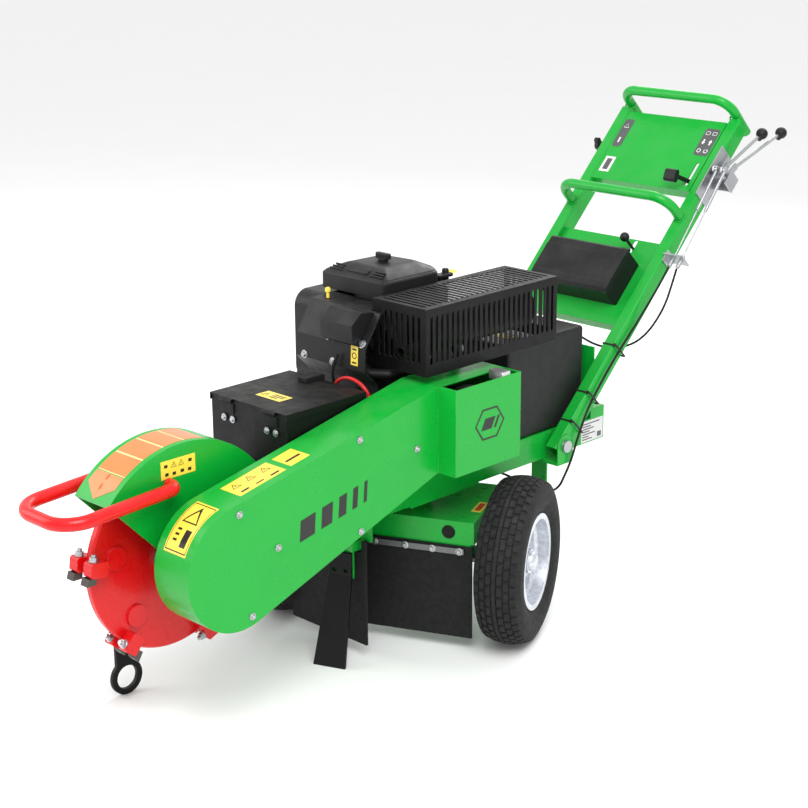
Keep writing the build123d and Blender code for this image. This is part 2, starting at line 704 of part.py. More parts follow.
with BuildPart() as crankcase:
    with BuildSketch(side(ENGINE_X0)):
        with BuildLine():
            Polyline((-112, DECK_TOP_Z + 4), (112, DECK_TOP_Z + 4), (108, 625), (25, 708), (-25, 708),
                     (-108, 625), close=True)
        make_face()
    extrude(amount=ENGINE_X1 - ENGINE_X0)
    fillet(crankcase.edges().filter_by(Axis.X), 6)
    # flange towards the belt drive
    with BuildSketch(side(ENGINE_X1, 0, CRANK_Z)):
        Circle(58)
    extrude(amount=26)
    # feet on the deck
    with BuildSketch(level(DECK_TOP_Z, (ENGINE_X0 + ENGINE_X1) / 2)):
        with GridLocations(150, 200, 2, 2):
            Rectangle(46, 44)
    extrude(amount=14)
    # carburettor between the cylinders
    with BuildSketch(side(-90)):
        with BuildLine():
            Polyline((-20, 700), (20, 700), (22, 742), (58, 792), (58, 866), (-58, 866), (-58, 792),
                     (-22, 742), close=True)
        make_face()
    extrude(amount=100)
    with BuildSketch(side(COWL_X1, 0, CRANK_Z)):
        Circle(CRANK_R + FIT)
    extrude(amount=ENGINE_X1 + 30 - COWL_X1, mode=Mode.SUBTRACT)
crankcase.part.label = "crankcase"
export_step(crankcase.part, "parts/crankcase.step")

with BuildPart() as crankshaft:
    with BuildSketch(side(COWL_X0 + 12, 0, CRANK_Z)):
        Circle(CRANK_R)
    extrude(amount=PULLEY_X1 + 54 - COWL_X0 - 12)
    # flywheel with its fan blades
    with BuildSketch(side(-196, 0, CRANK_Z)):
        Circle(118)
    extrude(amount=14)
    with BuildSketch(side(-212, 0, CRANK_Z)):
        with PolarLocations(82, 14):
            Rectangle(56, 5)
    extrude(amount=17)
crankshaft.part.label = "crankshaft"
export_step(crankshaft.part, "parts/crankshaft.step")


def cylinder_plane(sign, distance):
    """Plane across one cylinder, a distance out from the crankshaft; sign picks front or rear."""
    lean = (0, sign * sin(radians(VEE_ANGLE)), cos(radians(VEE_ANGLE)))
    origin = (CYLINDER_X, PIVOT_Y + lean[1] * distance, CRANK_Z + lean[2] * distance)
    return Plane(origin=origin, x_dir=(1, 0, 0), z_dir=lean)


with BuildPart() as cylinders:
    for sign in (-1, 1):
        with BuildSketch(cylinder_plane(sign, BARREL_FOOT)):
            Circle(44)
        extrude(amount=HEAD_FOOT - BARREL_FOOT)
        for fin in range(10):
            with BuildSketch(cylinder_plane(sign, BARREL_FOOT + 8 + fin * FIN_PITCH)):
                Circle(FIN_R)
            extrude(amount=3)
        with BuildSketch(cylinder_plane(sign, HEAD_FOOT)):
            RectangleRounded(118, 90, 12)
        extrude(amount=HEAD_TOP - HEAD_FOOT)
cylinders.part.label = "cylinders"
export_step(cylinders.part, "parts/cylinders.step")

SHROUD_X0 = -150.0
SHROUD_X1 = 88.0
SHROUD_STEP_X = 43.0
VALVE_X0 = -42.0
VALVE_X1 = 66.0

with BuildPart() as cylinder_shrouds:
    for sign in (-1, 1):
        with BuildSketch(side(SHROUD_X0)):
            with BuildLine():
                Polyline((sign * 78, 856), (sign * 146, 852), (sign * 196, 778), (sign * 200, 722),
                         (sign * 158, 680), (sign * 152, 636))
            trace(line_width=SHROUD_SHEET)
        extrude(amount=SHROUD_STEP_X - SHROUD_X0 if sign < 0 else -30 - SHROUD_X0)
        # rocker cover box on the sloping face
        with BuildSketch(side(VALVE_X0 if sign < 0 else -140)):
            with BuildLine():
                Polyline((sign * 148.5, 853.5), (sign * 198.6, 779.5), (sign * 219, 790), (sign * 221, 834),
                         (sign * 188, 860), close=True)
            make_face()
        extrude(amount=VALVE_X1 - VALVE_X0 if sign < 0 else 100)
    # the front shroud runs on beside the exhaust guard
    with BuildSketch(side(SHROUD_STEP_X)):
        with BuildLine():
            Polyline((-138, 852.5), (-146, 852), (-196, 778), (-200, 722), (-158, 680), (-152, 636))
        trace(line_width=SHROUD_SHEET)
    extrude(amount=SHROUD_X1 - SHROUD_STEP_X)
cylinder_shrouds.part.label = "cylinder_shrouds"
export_step(cylinder_shrouds.part, "parts/cylinder_shrouds.step")

COWL_R = 136.0

with BuildPart() as fan_housing:
    with BuildSketch(side(COWL_X0)):
        with Locations((0, CRANK_Z)):
            Circle(COWL_R)
        with Locations((0, 740)):
            RectangleRounded(260, 230, 40)
    extrude(amount=COWL_X1 - COWL_X0)
    with BuildSketch(side(COWL_X0 + SHROUD_SHEET)):
        with Locations((0, CRANK_Z)):
            Circle(COWL_R - SHROUD_SHEET)
        with Locations((0, 740)):
            RectangleRounded(260 - 2 * SHROUD_SHEET, 230 - 2 * SHROUD_SHEET, 36)
    extrude(amount=COWL_X1 - COWL_X0 - SHROUD_SHEET, mode=Mode.SUBTRACT)
    # round inlet with a screen of rings and spokes
    with BuildSketch(side(COWL_X0, 0, CRANK_Z)):
        Circle(100)
        for ring in range(6):
            Circle(92 - 15 * ring, mode=Mode.SUBTRACT)
            Circle(84 - 15 * ring)
        Rectangle(200, 6)
        Rectangle(6, 200)
    inlet = extrude(amount=SHROUD_SHEET, mode=Mode.PRIVATE)
    with BuildSketch(side(COWL_X0, 0, CRANK_Z)):
        Circle(100)
    extrude(amount=SHROUD_SHEET, mode=Mode.SUBTRACT)
    add(inlet)
fan_housing.part.label = "fan_housing"
export_step(fan_housing.part, "parts/fan_housing.step")

CLEANER_LOW_Z = 868.0
CLEANER_TOP_Z = 932.0
KNOB_X = -62.0
KNOB_Y = 12.0

with BuildPart() as air_cleaner_cover:
    with BuildSketch(level(CLEANER_LOW_Z)):
        with BuildLine():
            Polyline((-176, -92), (44, -88), (44, 96), (4, 126), (-164, 108), close=True)
        make_face()
        fillet(vertices(), 14)
    extrude(amount=26)
    with BuildSketch(level(CLEANER_LOW_Z + 26)):
        with BuildLine():
            Polyline((-170, -86), (38, -82), (38, 92), (2, 120), (-158, 102), close=True)
        make_face()
        fillet(vertices(), 14)
    extrude(amount=CLEANER_TOP_Z - CLEANER_LOW_Z - 26, taper=24)
    fillet(air_cleaner_cover.faces().sort_by(Axis.Z)[-1].edges(), 3)
air_cleaner_cover.part.label = "air_cleaner_cover"
export_step(air_cleaner_cover.part, "parts/air_cleaner_cover.step")

with BuildPart() as air_cleaner_knob:
    with BuildSketch(level(CLEANER_TOP_Z + 0.5, KNOB_X, KNOB_Y)):
        Circle(13)
    extrude(amount=6)
    with BuildSketch(level(CLEANER_TOP_Z + 6.5, KNOB_X, KNOB_Y)):
        RectangleRounded(46, 15, 6)
    extrude(amount=14)
    fillet(air_cleaner_knob.faces().sort_by(Axis.Z)[-1].edges(), 3)
air_cleaner_knob.part.label = "air_cleaner_knob"
export_step(air_cleaner_knob.part, "parts/air_cleaner_knob.step")

MUFFLER_X = 135.0
MUFFLER_Z = 803.0
MUFFLER_R = 54.0
TAIL_Z = 766.0
PIPE_R = 13.0

with BuildPart() as muffler:
    with BuildSketch(across(300, MUFFLER_X, MUFFLER_Z)):
        Circle(MUFFLER_R)
    extrude(amount=362)
    fillet(muffler.edges().filter_by(GeomType.CIRCLE), 10)
    with BuildSketch(across(-50, MUFFLER_X, TAIL_Z)):
        Circle(PIPE_R)
    extrude(amount=79)
    with BuildSketch(across(-70, MUFFLER_X, TAIL_Z)):
        Circle(PIPE_R - 2)
    extrude(amount=60, mode=Mode.SUBTRACT)
    # one exhaust pipe from each cylinder head
    for sign, inner, riser in ((-1, -50, 0), (1, 110, 70)):
        with BuildLine() as pipe_path:
            FilletPolyline(machine_point(20, sign * 158, 724), machine_point(56, sign * 158, 704),
                           machine_point(94, sign * 128, 703), machine_point(98, inner, 703),
                           machine_point(108, riser, 770), radius=16)
        with BuildSketch(pipe_path.line ^ 0):
            Circle(PIPE_R)
        sweep()
muffler.part.label = "muffler"
export_step(muffler.part, "parts/muffler.step")

GUARD_X0 = 48.0
GUARD_X1 = 222.0
GUARD_FRONT = -132.0
GUARD_REAR = 336.0
GUARD_LOW_Z = 721.0
GUARD_TOP_Z = 884.0
GUARD_SHEET = 2.5
SLOT_PITCH = 18.0
SLOT_WIDTH = 9.0
GUARD_MID_X = (GUARD_X0 + GUARD_X1) / 2
GUARD_MID_Y = (GUARD_FRONT + GUARD_REAR) / 2
GUARD_MID_Z = (GUARD_LOW_Z + GUARD_TOP_Z) / 2

with BuildPart() as muffler_guard:
    with BuildSketch(across(GUARD_REAR, GUARD_MID_X, GUARD_MID_Z)):
        Rectangle(GUARD_X1 - GUARD_X0, GUARD_TOP_Z - GUARD_LOW_Z)
    extrude(amount=GUARD_REAR - GUARD_FRONT)
    fillet(muffler_guard.edges().filter_by(Axis.Y).group_by(Axis.Z)[-1].sort_by(Axis.X)[-1], 4)
    # open underneath and on the engine's side
    with BuildSketch(across(GUARD_REAR - GUARD_SHEET, GUARD_MID_X - GUARD_SHEET, GUARD_MID_Z - GUARD_SHEET)):
        Rectangle(GUARD_X1 - GUARD_X0, GUARD_TOP_Z - GUARD_LOW_Z)
    extrude(amount=GUARD_REAR - GUARD_FRONT - 2 * GUARD_SHEET, mode=Mode.SUBTRACT)
    with BuildSketch(side(GUARD_X1 - 2 * GUARD_SHEET, GUARD_MID_Y, GUARD_MID_Z + 4)):
        with GridLocations(SLOT_PITCH, 1, 25, 1):
            SlotOverall(116, SLOT_WIDTH, rotation=90)
    extrude(amount=3 * GUARD_SHEET, mode=Mode.SUBTRACT)
    with BuildSketch(level(GUARD_TOP_Z - 2 * GUARD_SHEET, GUARD_MID_X, GUARD_MID_Y)):
        with GridLocations(1, SLOT_PITCH, 1, 25):
            SlotOverall(138, SLOT_WIDTH)
    extrude(amount=3 * GUARD_SHEET, mode=Mode.SUBTRACT)
    for y in (GUARD_FRONT + 2 * GUARD_SHEET, GUARD_REAR + GUARD_SHEET):
        with BuildSketch(across(y, GUARD_MID_X, GUARD_MID_Z + 4)):
            with GridLocations(SLOT_PITCH, 1, 8, 1):
                SlotOverall(112, SLOT_WIDTH, rotation=90)
            if y < 0:
                with Locations((MUFFLER_X - GUARD_MID_X, TAIL_Z - GUARD_MID_Z - 4)):
                    Circle(PIPE_R + 5)
        extrude(amount=3 * GUARD_SHEET, mode=Mode.SUBTRACT)
muffler_guard.part.label = "muffler_guard"
export_step(muffler_guard.part, "parts/muffler_guard.step")

# ---------------------------------------------------------------- battery and fuel

BATTERY_X0 = -137.0
BATTERY_X1 = 123.0
BATTERY_FRONT = -480.0
BATTERY_REAR = -236.0
BOX_LOW_Z = SHELF_Z + DECK_THICK
LID_Z = 687.0
BATTERY_MID_X = (BATTERY_X0 + BATTERY_X1) / 2
BATTERY_MID_Y = (BATTERY_FRONT + BATTERY_REAR) / 2
BATTERY_SIZE_X = BATTERY_X1 - BATTERY_X0
BATTERY_SIZE_Y = BATTERY_REAR - BATTERY_FRONT
HINGE_X = (-80.0, 70.0)
HINGE_Y = BATTERY_FRONT - 5.5

with BuildPart() as battery_box:
    with BuildSketch(level(BOX_LOW_Z, BATTERY_MID_X, BATTERY_MID_Y)):
        Rectangle(BATTERY_SIZE_X, BATTERY_SIZE_Y)
    extrude(amount=LID_Z - GAP - BOX_LOW_Z)
    with BuildSketch(level(BOX_LOW_Z + SHEET, BATTERY_MID_X, BATTERY_MID_Y)):
        Rectangle(BATTERY_SIZE_X - 2 * SHEET, BATTERY_SIZE_Y - 2 * SHEET)
    extrude(amount=LID_Z - BOX_LOW_Z, mode=Mode.SUBTRACT)
    # fixed leaves of the two hinges
    with BuildSketch(across(BATTERY_FRONT, 0, LID_Z - 22)):
        with Locations(*[(x, 0) for x in HINGE_X]):
            Rectangle(46, 24)
    extrude(amount=SHEET)
battery_box.part.label = "battery_box"
export_step(battery_box.part, "parts/battery_box.step")

with BuildPart() as battery:
    with BuildSketch(level(BOX_LOW_Z + SHEET, -10, -365)):
        RectangleRounded(185, 150, 6)
    extrude(amount=150)
    with BuildSketch(level(BOX_LOW_Z + SHEET + 150, -10, -330)):
        with GridLocations(130, 1, 2, 1):
            Circle(9)
    extrude(amount=16)
battery.part.label = "battery"
export_step(battery.part, "parts/battery.step")

with BuildPart() as battery_lid:
    with BuildSketch(level(LID_Z, BATTERY_MID_X, BATTERY_MID_Y)):
        Rectangle(BATTERY_SIZE_X + 6, BATTERY_SIZE_Y + 6)
    extrude(amount=SHEET)
    with BuildSketch(level(LID_Z - 14, BATTERY_MID_X, BATTERY_MID_Y)):
        Rectangle(BATTERY_SIZE_X + 6, BATTERY_SIZE_Y + 6)
        with Locations((0, -4)):
            Rectangle(BATTERY_SIZE_X + 2, BATTERY_SIZE_Y + 10, mode=Mode.SUBTRACT)
    extrude(amount=14)
    for x in HINGE_X:
        with BuildSketch(side(x - 23, HINGE_Y, LID_Z + SHEET - 5)):
            Circle(5)
        extrude(amount=46)
battery_lid.part.label = "battery_lid"
export_step(battery_lid.part, "parts/battery_lid.step")

LATCH_X = -40.0
LATCH_Y = -284.0

with BuildPart() as lid_latch:
    with BuildSketch(side(LATCH_X - 15)):
        with BuildLine():
            Polyline((LATCH_Y, LID_Z + 4), (LATCH_Y, LID_Z + 15), (-226, LID_Z + 15), (-224, LID_Z + 10),
                     (-224, LID_Z - 30), (-229, LID_Z - 30), (-229, LID_Z + 4), close=True)
        make_face()
    extrude(amount=30)
    fillet(lid_latch.edges().filter_by(Axis.X).group_by(Axis.Z)[-1], 3)
lid_latch.part.label = "lid_latch"
export_step(lid_latch.part, "parts/lid_latch.step")

TANK_TOP_Z = 712.0
TANK_WALL = 4.0
CAP_X = -70.0
CAP_Y = 430.0

with BuildPart() as fuel_tank:
    with BuildSketch(side(-158)):
        with BuildLine():
            Polyline((228, DECK_TOP_Z + GAP), (432, DECK_TOP_Z + GAP), (526, 548), (526, TANK_TOP_Z),
                     (228, TANK_TOP_Z), close=True)
        make_face()
    extrude(amount=316)
    fillet(fuel_tank.edges(), 10)
    with BuildSketch(side(-158 + TANK_WALL)):
        with BuildLine():
            Polyline((232, DECK_TOP_Z + GAP + TANK_WALL), (430, DECK_TOP_Z + GAP + TANK_WALL), (522, 550),
                     (522, TANK_TOP_Z - TANK_WALL), (232, TANK_TOP_Z - TANK_WALL), close=True)
        make_face()
    extrude(amount=2 * (158 - TANK_WALL), mode=Mode.SUBTRACT)
    with BuildSketch(level(TANK_TOP_Z - TANK_WALL, CAP_X, CAP_Y)):
        Circle(26)
    extrude(amount=12)
    with BuildSketch(level(TANK_TOP_Z - TANK_WALL, CAP_X, CAP_Y)):
        Circle(22)
    extrude(amount=12, mode=Mode.SUBTRACT)
fuel_tank.part.label = "fuel_tank"
export_step(fuel_tank.part, "parts/fuel_tank.step")

with BuildPart() as fuel_cap:
    with BuildSketch(level(TANK_TOP_Z + 8.5, CAP_X, CAP_Y)):
        Circle(33)
        with PolarLocations(34, 18):
            Circle(3, mode=Mode.SUBTRACT)
    extrude(amount=22)
    fillet(fuel_cap.faces().sort_by(Axis.Z)[-1].edges(), 2)
fuel_cap.part.label = "fuel_cap"
export_step(fuel_cap.part, "parts/fuel_cap.step")

# ---------------------------------------------------------------- axle unit

HOUSING_SHEET = 4.0
CHEEK_X = 226.0
HUB_X1 = 346.0
HOUSING_MID_Y = (HOUSING_FRONT + HOUSING_REAR) / 2

with BuildPart() as axle_housing:
    with BuildSketch(AXLE.offset(HOUSING_LOW_Z)):
        with Locations((0, HOUSING_MID_Y)):
            Rectangle(2 * HOUSING_X, HOUSING_REAR - HOUSING_FRONT)
    extrude(amount=HOUSING_TOP_Z - HOUSING_LOW_Z)
    with BuildSketch(AXLE.offset(HOUSING_LOW_Z)):
        with Locations((0, HOUSING_MID_Y)):
            Rectangle(2 * (HOUSING_X - HOUSING_SHEET), HOUSING_REAR - HOUSING_FRONT - 2 * HOUSING_SHEET)
    extrude(amount=HOUSING_TOP_Z - HOUSING_LOW_Z - HOUSING_SHEET, mode=Mode.SUBTRACT)
    # turntable ring round the swing pin
    with BuildSketch(AXLE.offset(HOUSING_TOP_Z - 1)):
        Circle(82)
    extrude(amount=BEAM_LOW_Z - DECK_THICK - GAP - HOUSING_TOP_Z + 1)
    with BuildSketch(AXLE.offset(HOUSING_LOW_Z)):
        Circle(PIN_R + FIT)
    extrude(amount=120, mode=Mode.SUBTRACT)
    # cheeks that hold the axle, and the front lip behind the skirt
    for x in (-CHEEK_X - 6, CHEEK_X):
        with BuildSketch(axle_side(x)):
            with Locations((0, 240)):
                Rectangle(96, 90)
            with Locations((0, AXLE_Z)):
                Circle(42)
            with Locations((0, AXLE_Z)):
                Circle(22, mode=Mode.SUBTRACT)
        extrude(amount=6)
    with BuildSketch(axle_front(HOUSING_FRONT + HOUSING_SHEET, 0, 265)):
        Rectangle(2 * CHEEK_X, 30)
    extrude(amount=HOUSING_SHEET)
axle_housing.part.label = "axle_housing"
export_step(axle_housing.part, "parts/axle_housing.step")

with BuildPart() as axle_shaft:
    with BuildSketch(axle_side(-CHEEK_X - 6, 0, AXLE_Z)):
        Circle(22)
    extrude(amount=2 * CHEEK_X + 12)
    with BuildSketch(axle_side(-HUB_X1 - 8, 0, AXLE_Z)):
        Circle(AXLE_R)
    extrude(amount=2 * HUB_X1 + 16)
    for x in (-HUB_X1 - 13, HUB_X1 + 1):
        with BuildSketch(axle_side(x, 0, AXLE_Z)):
            RegularPolygon(17, 6)
        extrude(amount=12)
axle_shaft.part.label = "axle_shaft"
export_step(axle_shaft.part, "parts/axle_shaft.step")

with BuildPart() as skirt:
    with BuildSketch(axle_front(HOUSING_FRONT - GAP, 0, 155)):
        Rectangle(2 * HOUSING_X - 6, 240)
    extrude(amount=5)
    # strip that clamps the rubber, with its bolts
    with BuildSketch(axle_front(HOUSING_FRONT - GAP - 5.3, 88, 262)):
        Rectangle(250, 16)
    extrude(amount=3)
skirt.part.label = "skirt"
export_step(skirt.part, "parts/skirt.step")

BEAD_R = 112.0
SPIN_AXIS = Axis(AXLE.from_local_coords((0, 0, AXLE_Z)), SWING_X)

for name, sign in (("left", 1), ("right", -1)):
    centre = sign * TYRE_X
    with BuildPart() as tyre:
        with BuildSketch(axle_front(0, centre, AXLE_Z)):
            with BuildLine():
                Polyline((-44, BEAD_R), (-46, 121))
                ThreePointArc((-46, 121), (-TYRE_HALF_W, 160), (-50, 199))
                ThreePointArc((-50, 199), (0, TYRE_R), (50, 199))
                ThreePointArc((50, 199), (TYRE_HALF_W, 160), (46, 121))
                Polyline((46, 121), (44, BEAD_R), (32, BEAD_R), (36, 124))
                ThreePointArc((36, 124), (50, 158), (42, 190))
                Line((42, 190), (-42, 190))
                ThreePointArc((-42, 190), (-50, 158), (-36, 124))
                Polyline((-36, 124), (-32, BEAD_R), (-44, BEAD_R))
            make_face()
        revolve(axis=SPIN_AXIS)
    tyre.part.label = f"tyre_{name}"
    export_step(tyre.part, f"parts/tyre_{name}.step")

    with BuildPart() as rim:
        with BuildSketch(axle_front(0, centre, AXLE_Z)):
            with BuildLine():
                Polyline((-50, 121), (-46.4, 121), (-46.4, 111), (-18, 109), (-12, 100), (12, 100), (18, 109),
                         (46.4, 111), (46.4, 121), (50, 121), (50, 107), (20, 105), (14, 96), (-14, 96),
                         (-20, 105), (-50, 107), close=True)
            make_face()
            with Locations((sign * 2, 63)):
                Rectangle(5, 72)
            with BuildLine():
                Polyline(
                    (sign * -55, AXLE_R + FIT), (sign * 33, AXLE_R + FIT), (sign * 33, 30), (sign * -55, 30),
                    close=True)
            make_face()
        revolve(axis=SPIN_AXIS)
        with BuildSketch(axle_side(centre + sign * 4.5, 0, AXLE_Z)):
            with PolarLocations(50, 4, start_angle=45):
                RegularPolygon(10, 6)
        extrude(amount=sign * 10)
    rim.part.label = f"rim_{name}"
    export_step(rim.part, f"parts/rim_{name}.step")

# ---------------------------------------------------------------- handle frame

ARM_FOOT_V = -24.0
PANEL_V0 = 800.0
PANEL_V1 = 1037.0
PANEL_TOP_N = 25.0
PANEL_SHEET = 4.0
SLOT_X = 148.0
SLOT_V = 857.0
SLOT_LENGTH = 78.0
THROTTLE_N = -30.0
THROTTLE_TILT = 24.0
TRAY_V0 = 365.0
TRAY_V1 = 634.0
TRAY_N = 5.0
LOCK_X = 80.0
LOCK_V = 606.0

for name, x in (("arm_left", ARM_X0), ("arm_right", -ARM_X1)):
    with BuildPart() as arm:
        with BuildSketch(handle_side(x)):
            with Locations(((ARM_LENGTH + ARM_FOOT_V) / 2, 0)):
                Rectangle(ARM_LENGTH - ARM_FOOT_V, 2 * ARM_HALF_H)
            Circle(10, mode=Mode.SUBTRACT)
        extrude(amount=ARM_X1 - ARM_X0)
        fillet(arm.edges().filter_by(lambda edge: edge.length > 900), 4)
        with BuildSketch(handle_side(x + TUBE_WALL)):
            with Locations(((ARM_LENGTH + ARM_FOOT_V) / 2, 0)):
                Rectangle(ARM_LENGTH - ARM_FOOT_V, 2 * (ARM_HALF_H - TUBE_WALL))
        extrude(amount=ARM_X1 - ARM_X0 - 2 * TUBE_WALL, mode=Mode.SUBTRACT)
    arm.part.label = name
    export_step(arm.part, f"parts/{name}.step")

PANEL_HALF_W = ARM_X0 - GAP

with BuildPart() as console_panel:
    with BuildSketch(handle((PANEL_V0 + PANEL_V1) / 2, PANEL_TOP_N - PANEL_SHEET)):
        Rectangle(2 * PANEL_HALF_W, PANEL_V1 - PANEL_V0)
        with Locations((SLOT_X, SLOT_V - (PANEL_V0 + PANEL_V1) / 2)):
            SlotOverall(SLOT_LENGTH, 10, rotation=90, mode=Mode.SUBTRACT)
    extrude(amount=PANEL_SHEET)
    for v in (PANEL_V0 + PANEL_SHEET / 2, PANEL_V1 - PANEL_SHEET / 2):
        with BuildSketch(handle(v, -8)):
            Rectangle(2 * PANEL_HALF_W, PANEL_SHEET)
        extrude(amount=PANEL_TOP_N + 6)
    # bracket for the throttle pivot
    with BuildSketch(handle_side(SLOT_X + 8, SLOT_V, 0)):
        with Locations((0, -8)):
            Rectangle(26, 62)
        with Locations((0, THROTTLE_N)):
            Circle(4 + FIT, mode=Mode.SUBTRACT)
    extrude(amount=4)
console_panel.part.label = "console_panel"
export_step(console_panel.part, "parts/console_panel.step")

UPPER_BAR = (180, ARM_LENGTH + BAR_R + 0.5, -52, 87, 50)
LOWER_BAR = (185.5, 715, ARM_HALF_H + 0.2, 112, 55)

with BuildPart() as handlebars:
    for x, v, foot, top, bend in (UPPER_BAR, LOWER_BAR):
        with BuildLine() as bar_path:
            FilletPolyline(handle_point(-x, v, foot), handle_point(-x, v, top), handle_point(x, v, top),
                           handle_point(x, v, foot), radius=bend)
        with BuildSketch(bar_path.line ^ 0):
            Circle(BAR_R)
        sweep()
handlebars.part.label = "handlebars"
export_step(handlebars.part, "parts/handlebars.step")

with BuildPart() as tool_tray:
    with BuildSketch(handle((TRAY_V0 + TRAY_V1) / 2, TRAY_N)):
        Rectangle(2 * PANEL_HALF_W, TRAY_V1 - TRAY_V0)
        with Locations((LOCK_X, LOCK_V + 6 - (TRAY_V0 + TRAY_V1) / 2)):
            SlotOverall(40, 12, rotation=90, mode=Mode.SUBTRACT)
    extrude(amount=3)
    with BuildSketch(handle(TRAY_V0 + 1.5, -24)):
        Rectangle(2 * PANEL_HALF_W, 3)
    extrude(amount=30)
    # ear for the pivot of the lock lever
    with BuildSketch(handle_side(LOCK_X + 5.5, LOCK_V, 0)):
        with Locations((0, -4)):
            Rectangle(22, 22)
        with Locations((0, -8)):
            Circle(4 + FIT, mode=Mode.SUBTRACT)
    extrude(amount=4)
tool_tray.part.label = "tool_tray"
export_step(tool_tray.part, "parts/tool_tray.step")

CASE_HALF_X = 130.0
CASE_V0 = 424.0
CASE_V1 = 560.0
CASE_N0 = TRAY_N + 3.5
CASE_N1 = 70.0
CASE_MID_V = (CASE_V0 + CASE_V1) / 2
CASE_LENGTH = CASE_V1 - CASE_V0
LID_N = 84.0

with BuildPart() as tool_box:
    with BuildSketch(handle(CASE_MID_V, CASE_N0)):
        RectangleRounded(2 * CASE_HALF_X, CASE_LENGTH, 5)
    extrude(amount=CASE_N1 - CASE_N0)
    with BuildSketch(handle(CASE_MID_V, CASE_N0 + SHEET)):
        Rectangle(2 * (CASE_HALF_X - SHEET), CASE_LENGTH - 2 * SHEET)
    extrude(amount=CASE_N1 - CASE_N0, mode=Mode.SUBTRACT)
tool_box.part.label = "tool_box"
export_step(tool_box.part, "parts/tool_box.step")

with BuildPart() as tool_box_lid:
    with BuildSketch(handle_side(-CASE_HALF_X - 2)):
        with BuildLine():
            Polyline((CASE_V0 - 3, CASE_N1 + 0.5), (CASE_V0 - 3, LID_N - 8), (CASE_V0 + 6, LID_N - 1),
                     (CASE_V0 + 24, LID_N - 1), (CASE_V0 + 26, LID_N), (CASE_V1 - 26, LID_N),
                     (CASE_V1 - 24, LID_N - 2), (CASE_V1 - 4, LID_N - 2), (CASE_V1 + 3, LID_N - 8),
                     (CASE_V1 + 3, CASE_N1 + 0.5), close=True)
        make_face()
    extrude(amount=2 * CASE_HALF_X + 4)
    with BuildSketch(handle(CASE_MID_V, CASE_N1)):
        Rectangle(2 * CASE_HALF_X - 2, CASE_LENGTH - 2)
    extrude(amount=8, mode=Mode.SUBTRACT)
tool_box_lid.part.label = "tool_box_lid"
export_step(tool_box_lid.part, "parts/tool_box_lid.step")

# hand levers on the outer side of the left arm

BRACKET_X = ARM_X1 + 0.5
LEVER_V = 880.0
LEVER_N = 8.0
LEVER_PIN_R = 5.0
CRANK_ARM = 34.0
ROD_FOOT_V = 606.0
ROD_FOOT_N = 14.0
INNER_X = 216.0
OUTER_X = 242.0
LEVER_WIDTH = 6.0

with BuildPart() as lever_bracket:
    with BuildSketch(handle_side(BRACKET_X)):
        with Locations((870, 10)):
            Rectangle(160, 62)
    extrude(amount=3)
    with BuildSketch(handle_side(BRACKET_X + 3)):
        with Locations((LEVER_V, LEVER_N)):
            Circle(LEVER_PIN_R)
    extrude(amount=56)
    with BuildSketch(handle_side(BRACKET_X + 56)):
        with Locations((LEVER_V - 14, LEVER_N - 6)):
            Rectangle(44, 46)
    extrude(amount=3)
    with BuildSketch(handle(LEVER_V - 14, -21)):
        with Locations((BRACKET_X + 29.5, 0)):
            Rectangle(59, 38)
    extrude(amount=3)
    # plate that the two cable adjusters stand in
    with BuildSketch(handle_side(BRACKET_X)):
        with Locations((594, 6)):
            Rectangle(34, 38)
    extrude(amount=3)
    with BuildSketch(handle(594, ROD_FOOT_N - 24, BRACKET_X + 31)):
        Rectangle(62, 4)
    extrude(amount=44)
    for x in (INNER_X + 11, OUTER_X + 11):
        with BuildSketch(Plane(origin=handle_point(x, 568, ROD_FOOT_N), x_dir=(1, 0, 0),
                               z_dir=(0, SLOPE_C, SLOPE_S))):
            Circle(6)
        extrude(amount=38)
        with BuildSketch(Plane(origin=handle_point(x, 572, ROD_FOOT_N), x_dir=(1, 0, 0),
                               z_dir=(0, SLOPE_C, SLOPE_S))):
            Circle(3.9)
        extrude(amount=36, mode=Mode.SUBTRACT)
lever_bracket.part.label = "lever_bracket"
export_step(lever_bracket.part, "parts/lever_bracket.step")

for name, x, knob_x, knob_v, knob_n in (
    ("brake_lever", INNER_X, 240, 1060, -40),
    ("swing_lever", OUTER_X, 270, 1094, -74),
):
    with BuildPart() as lever:
        with BuildSketch(handle_side(x)):
            with BuildLine():
                Polyline(
                    (LEVER_V - 12, LEVER_N), (LEVER_V - 14, LEVER_N + CRANK_ARM),
                    (LEVER_V - 4, LEVER_N + CRANK_ARM + 6), (LEVER_V + 4, LEVER_N + CRANK_ARM),
                    (LEVER_V + 12, LEVER_N + 4), (LEVER_V + 44, LEVER_N - 4),
                    (LEVER_V + 40, LEVER_N - 20), (LEVER_V + 6, LEVER_N - 11), close=True)
            make_face()
            with Locations((LEVER_V, LEVER_N)):
                Circle(LEVER_PIN_R + FIT, mode=Mode.SUBTRACT)
        extrude(amount=LEVER_WIDTH)
        stem_foot = handle_point(x + LEVER_WIDTH / 2, LEVER_V + 36, LEVER_N - 12)
        stem_top = handle_point(knob_x, knob_v, knob_n)
        with BuildSketch(Plane(origin=stem_foot, x_dir=(1, 0, 0), z_dir=stem_top - stem_foot)):
            Circle(4.5)
        extrude(amount=(stem_top - stem_foot).length)
        with Locations(stem_top):
            Sphere(16)
    lever.part.label = name
    export_step(lever.part, f"parts/{name}.step")

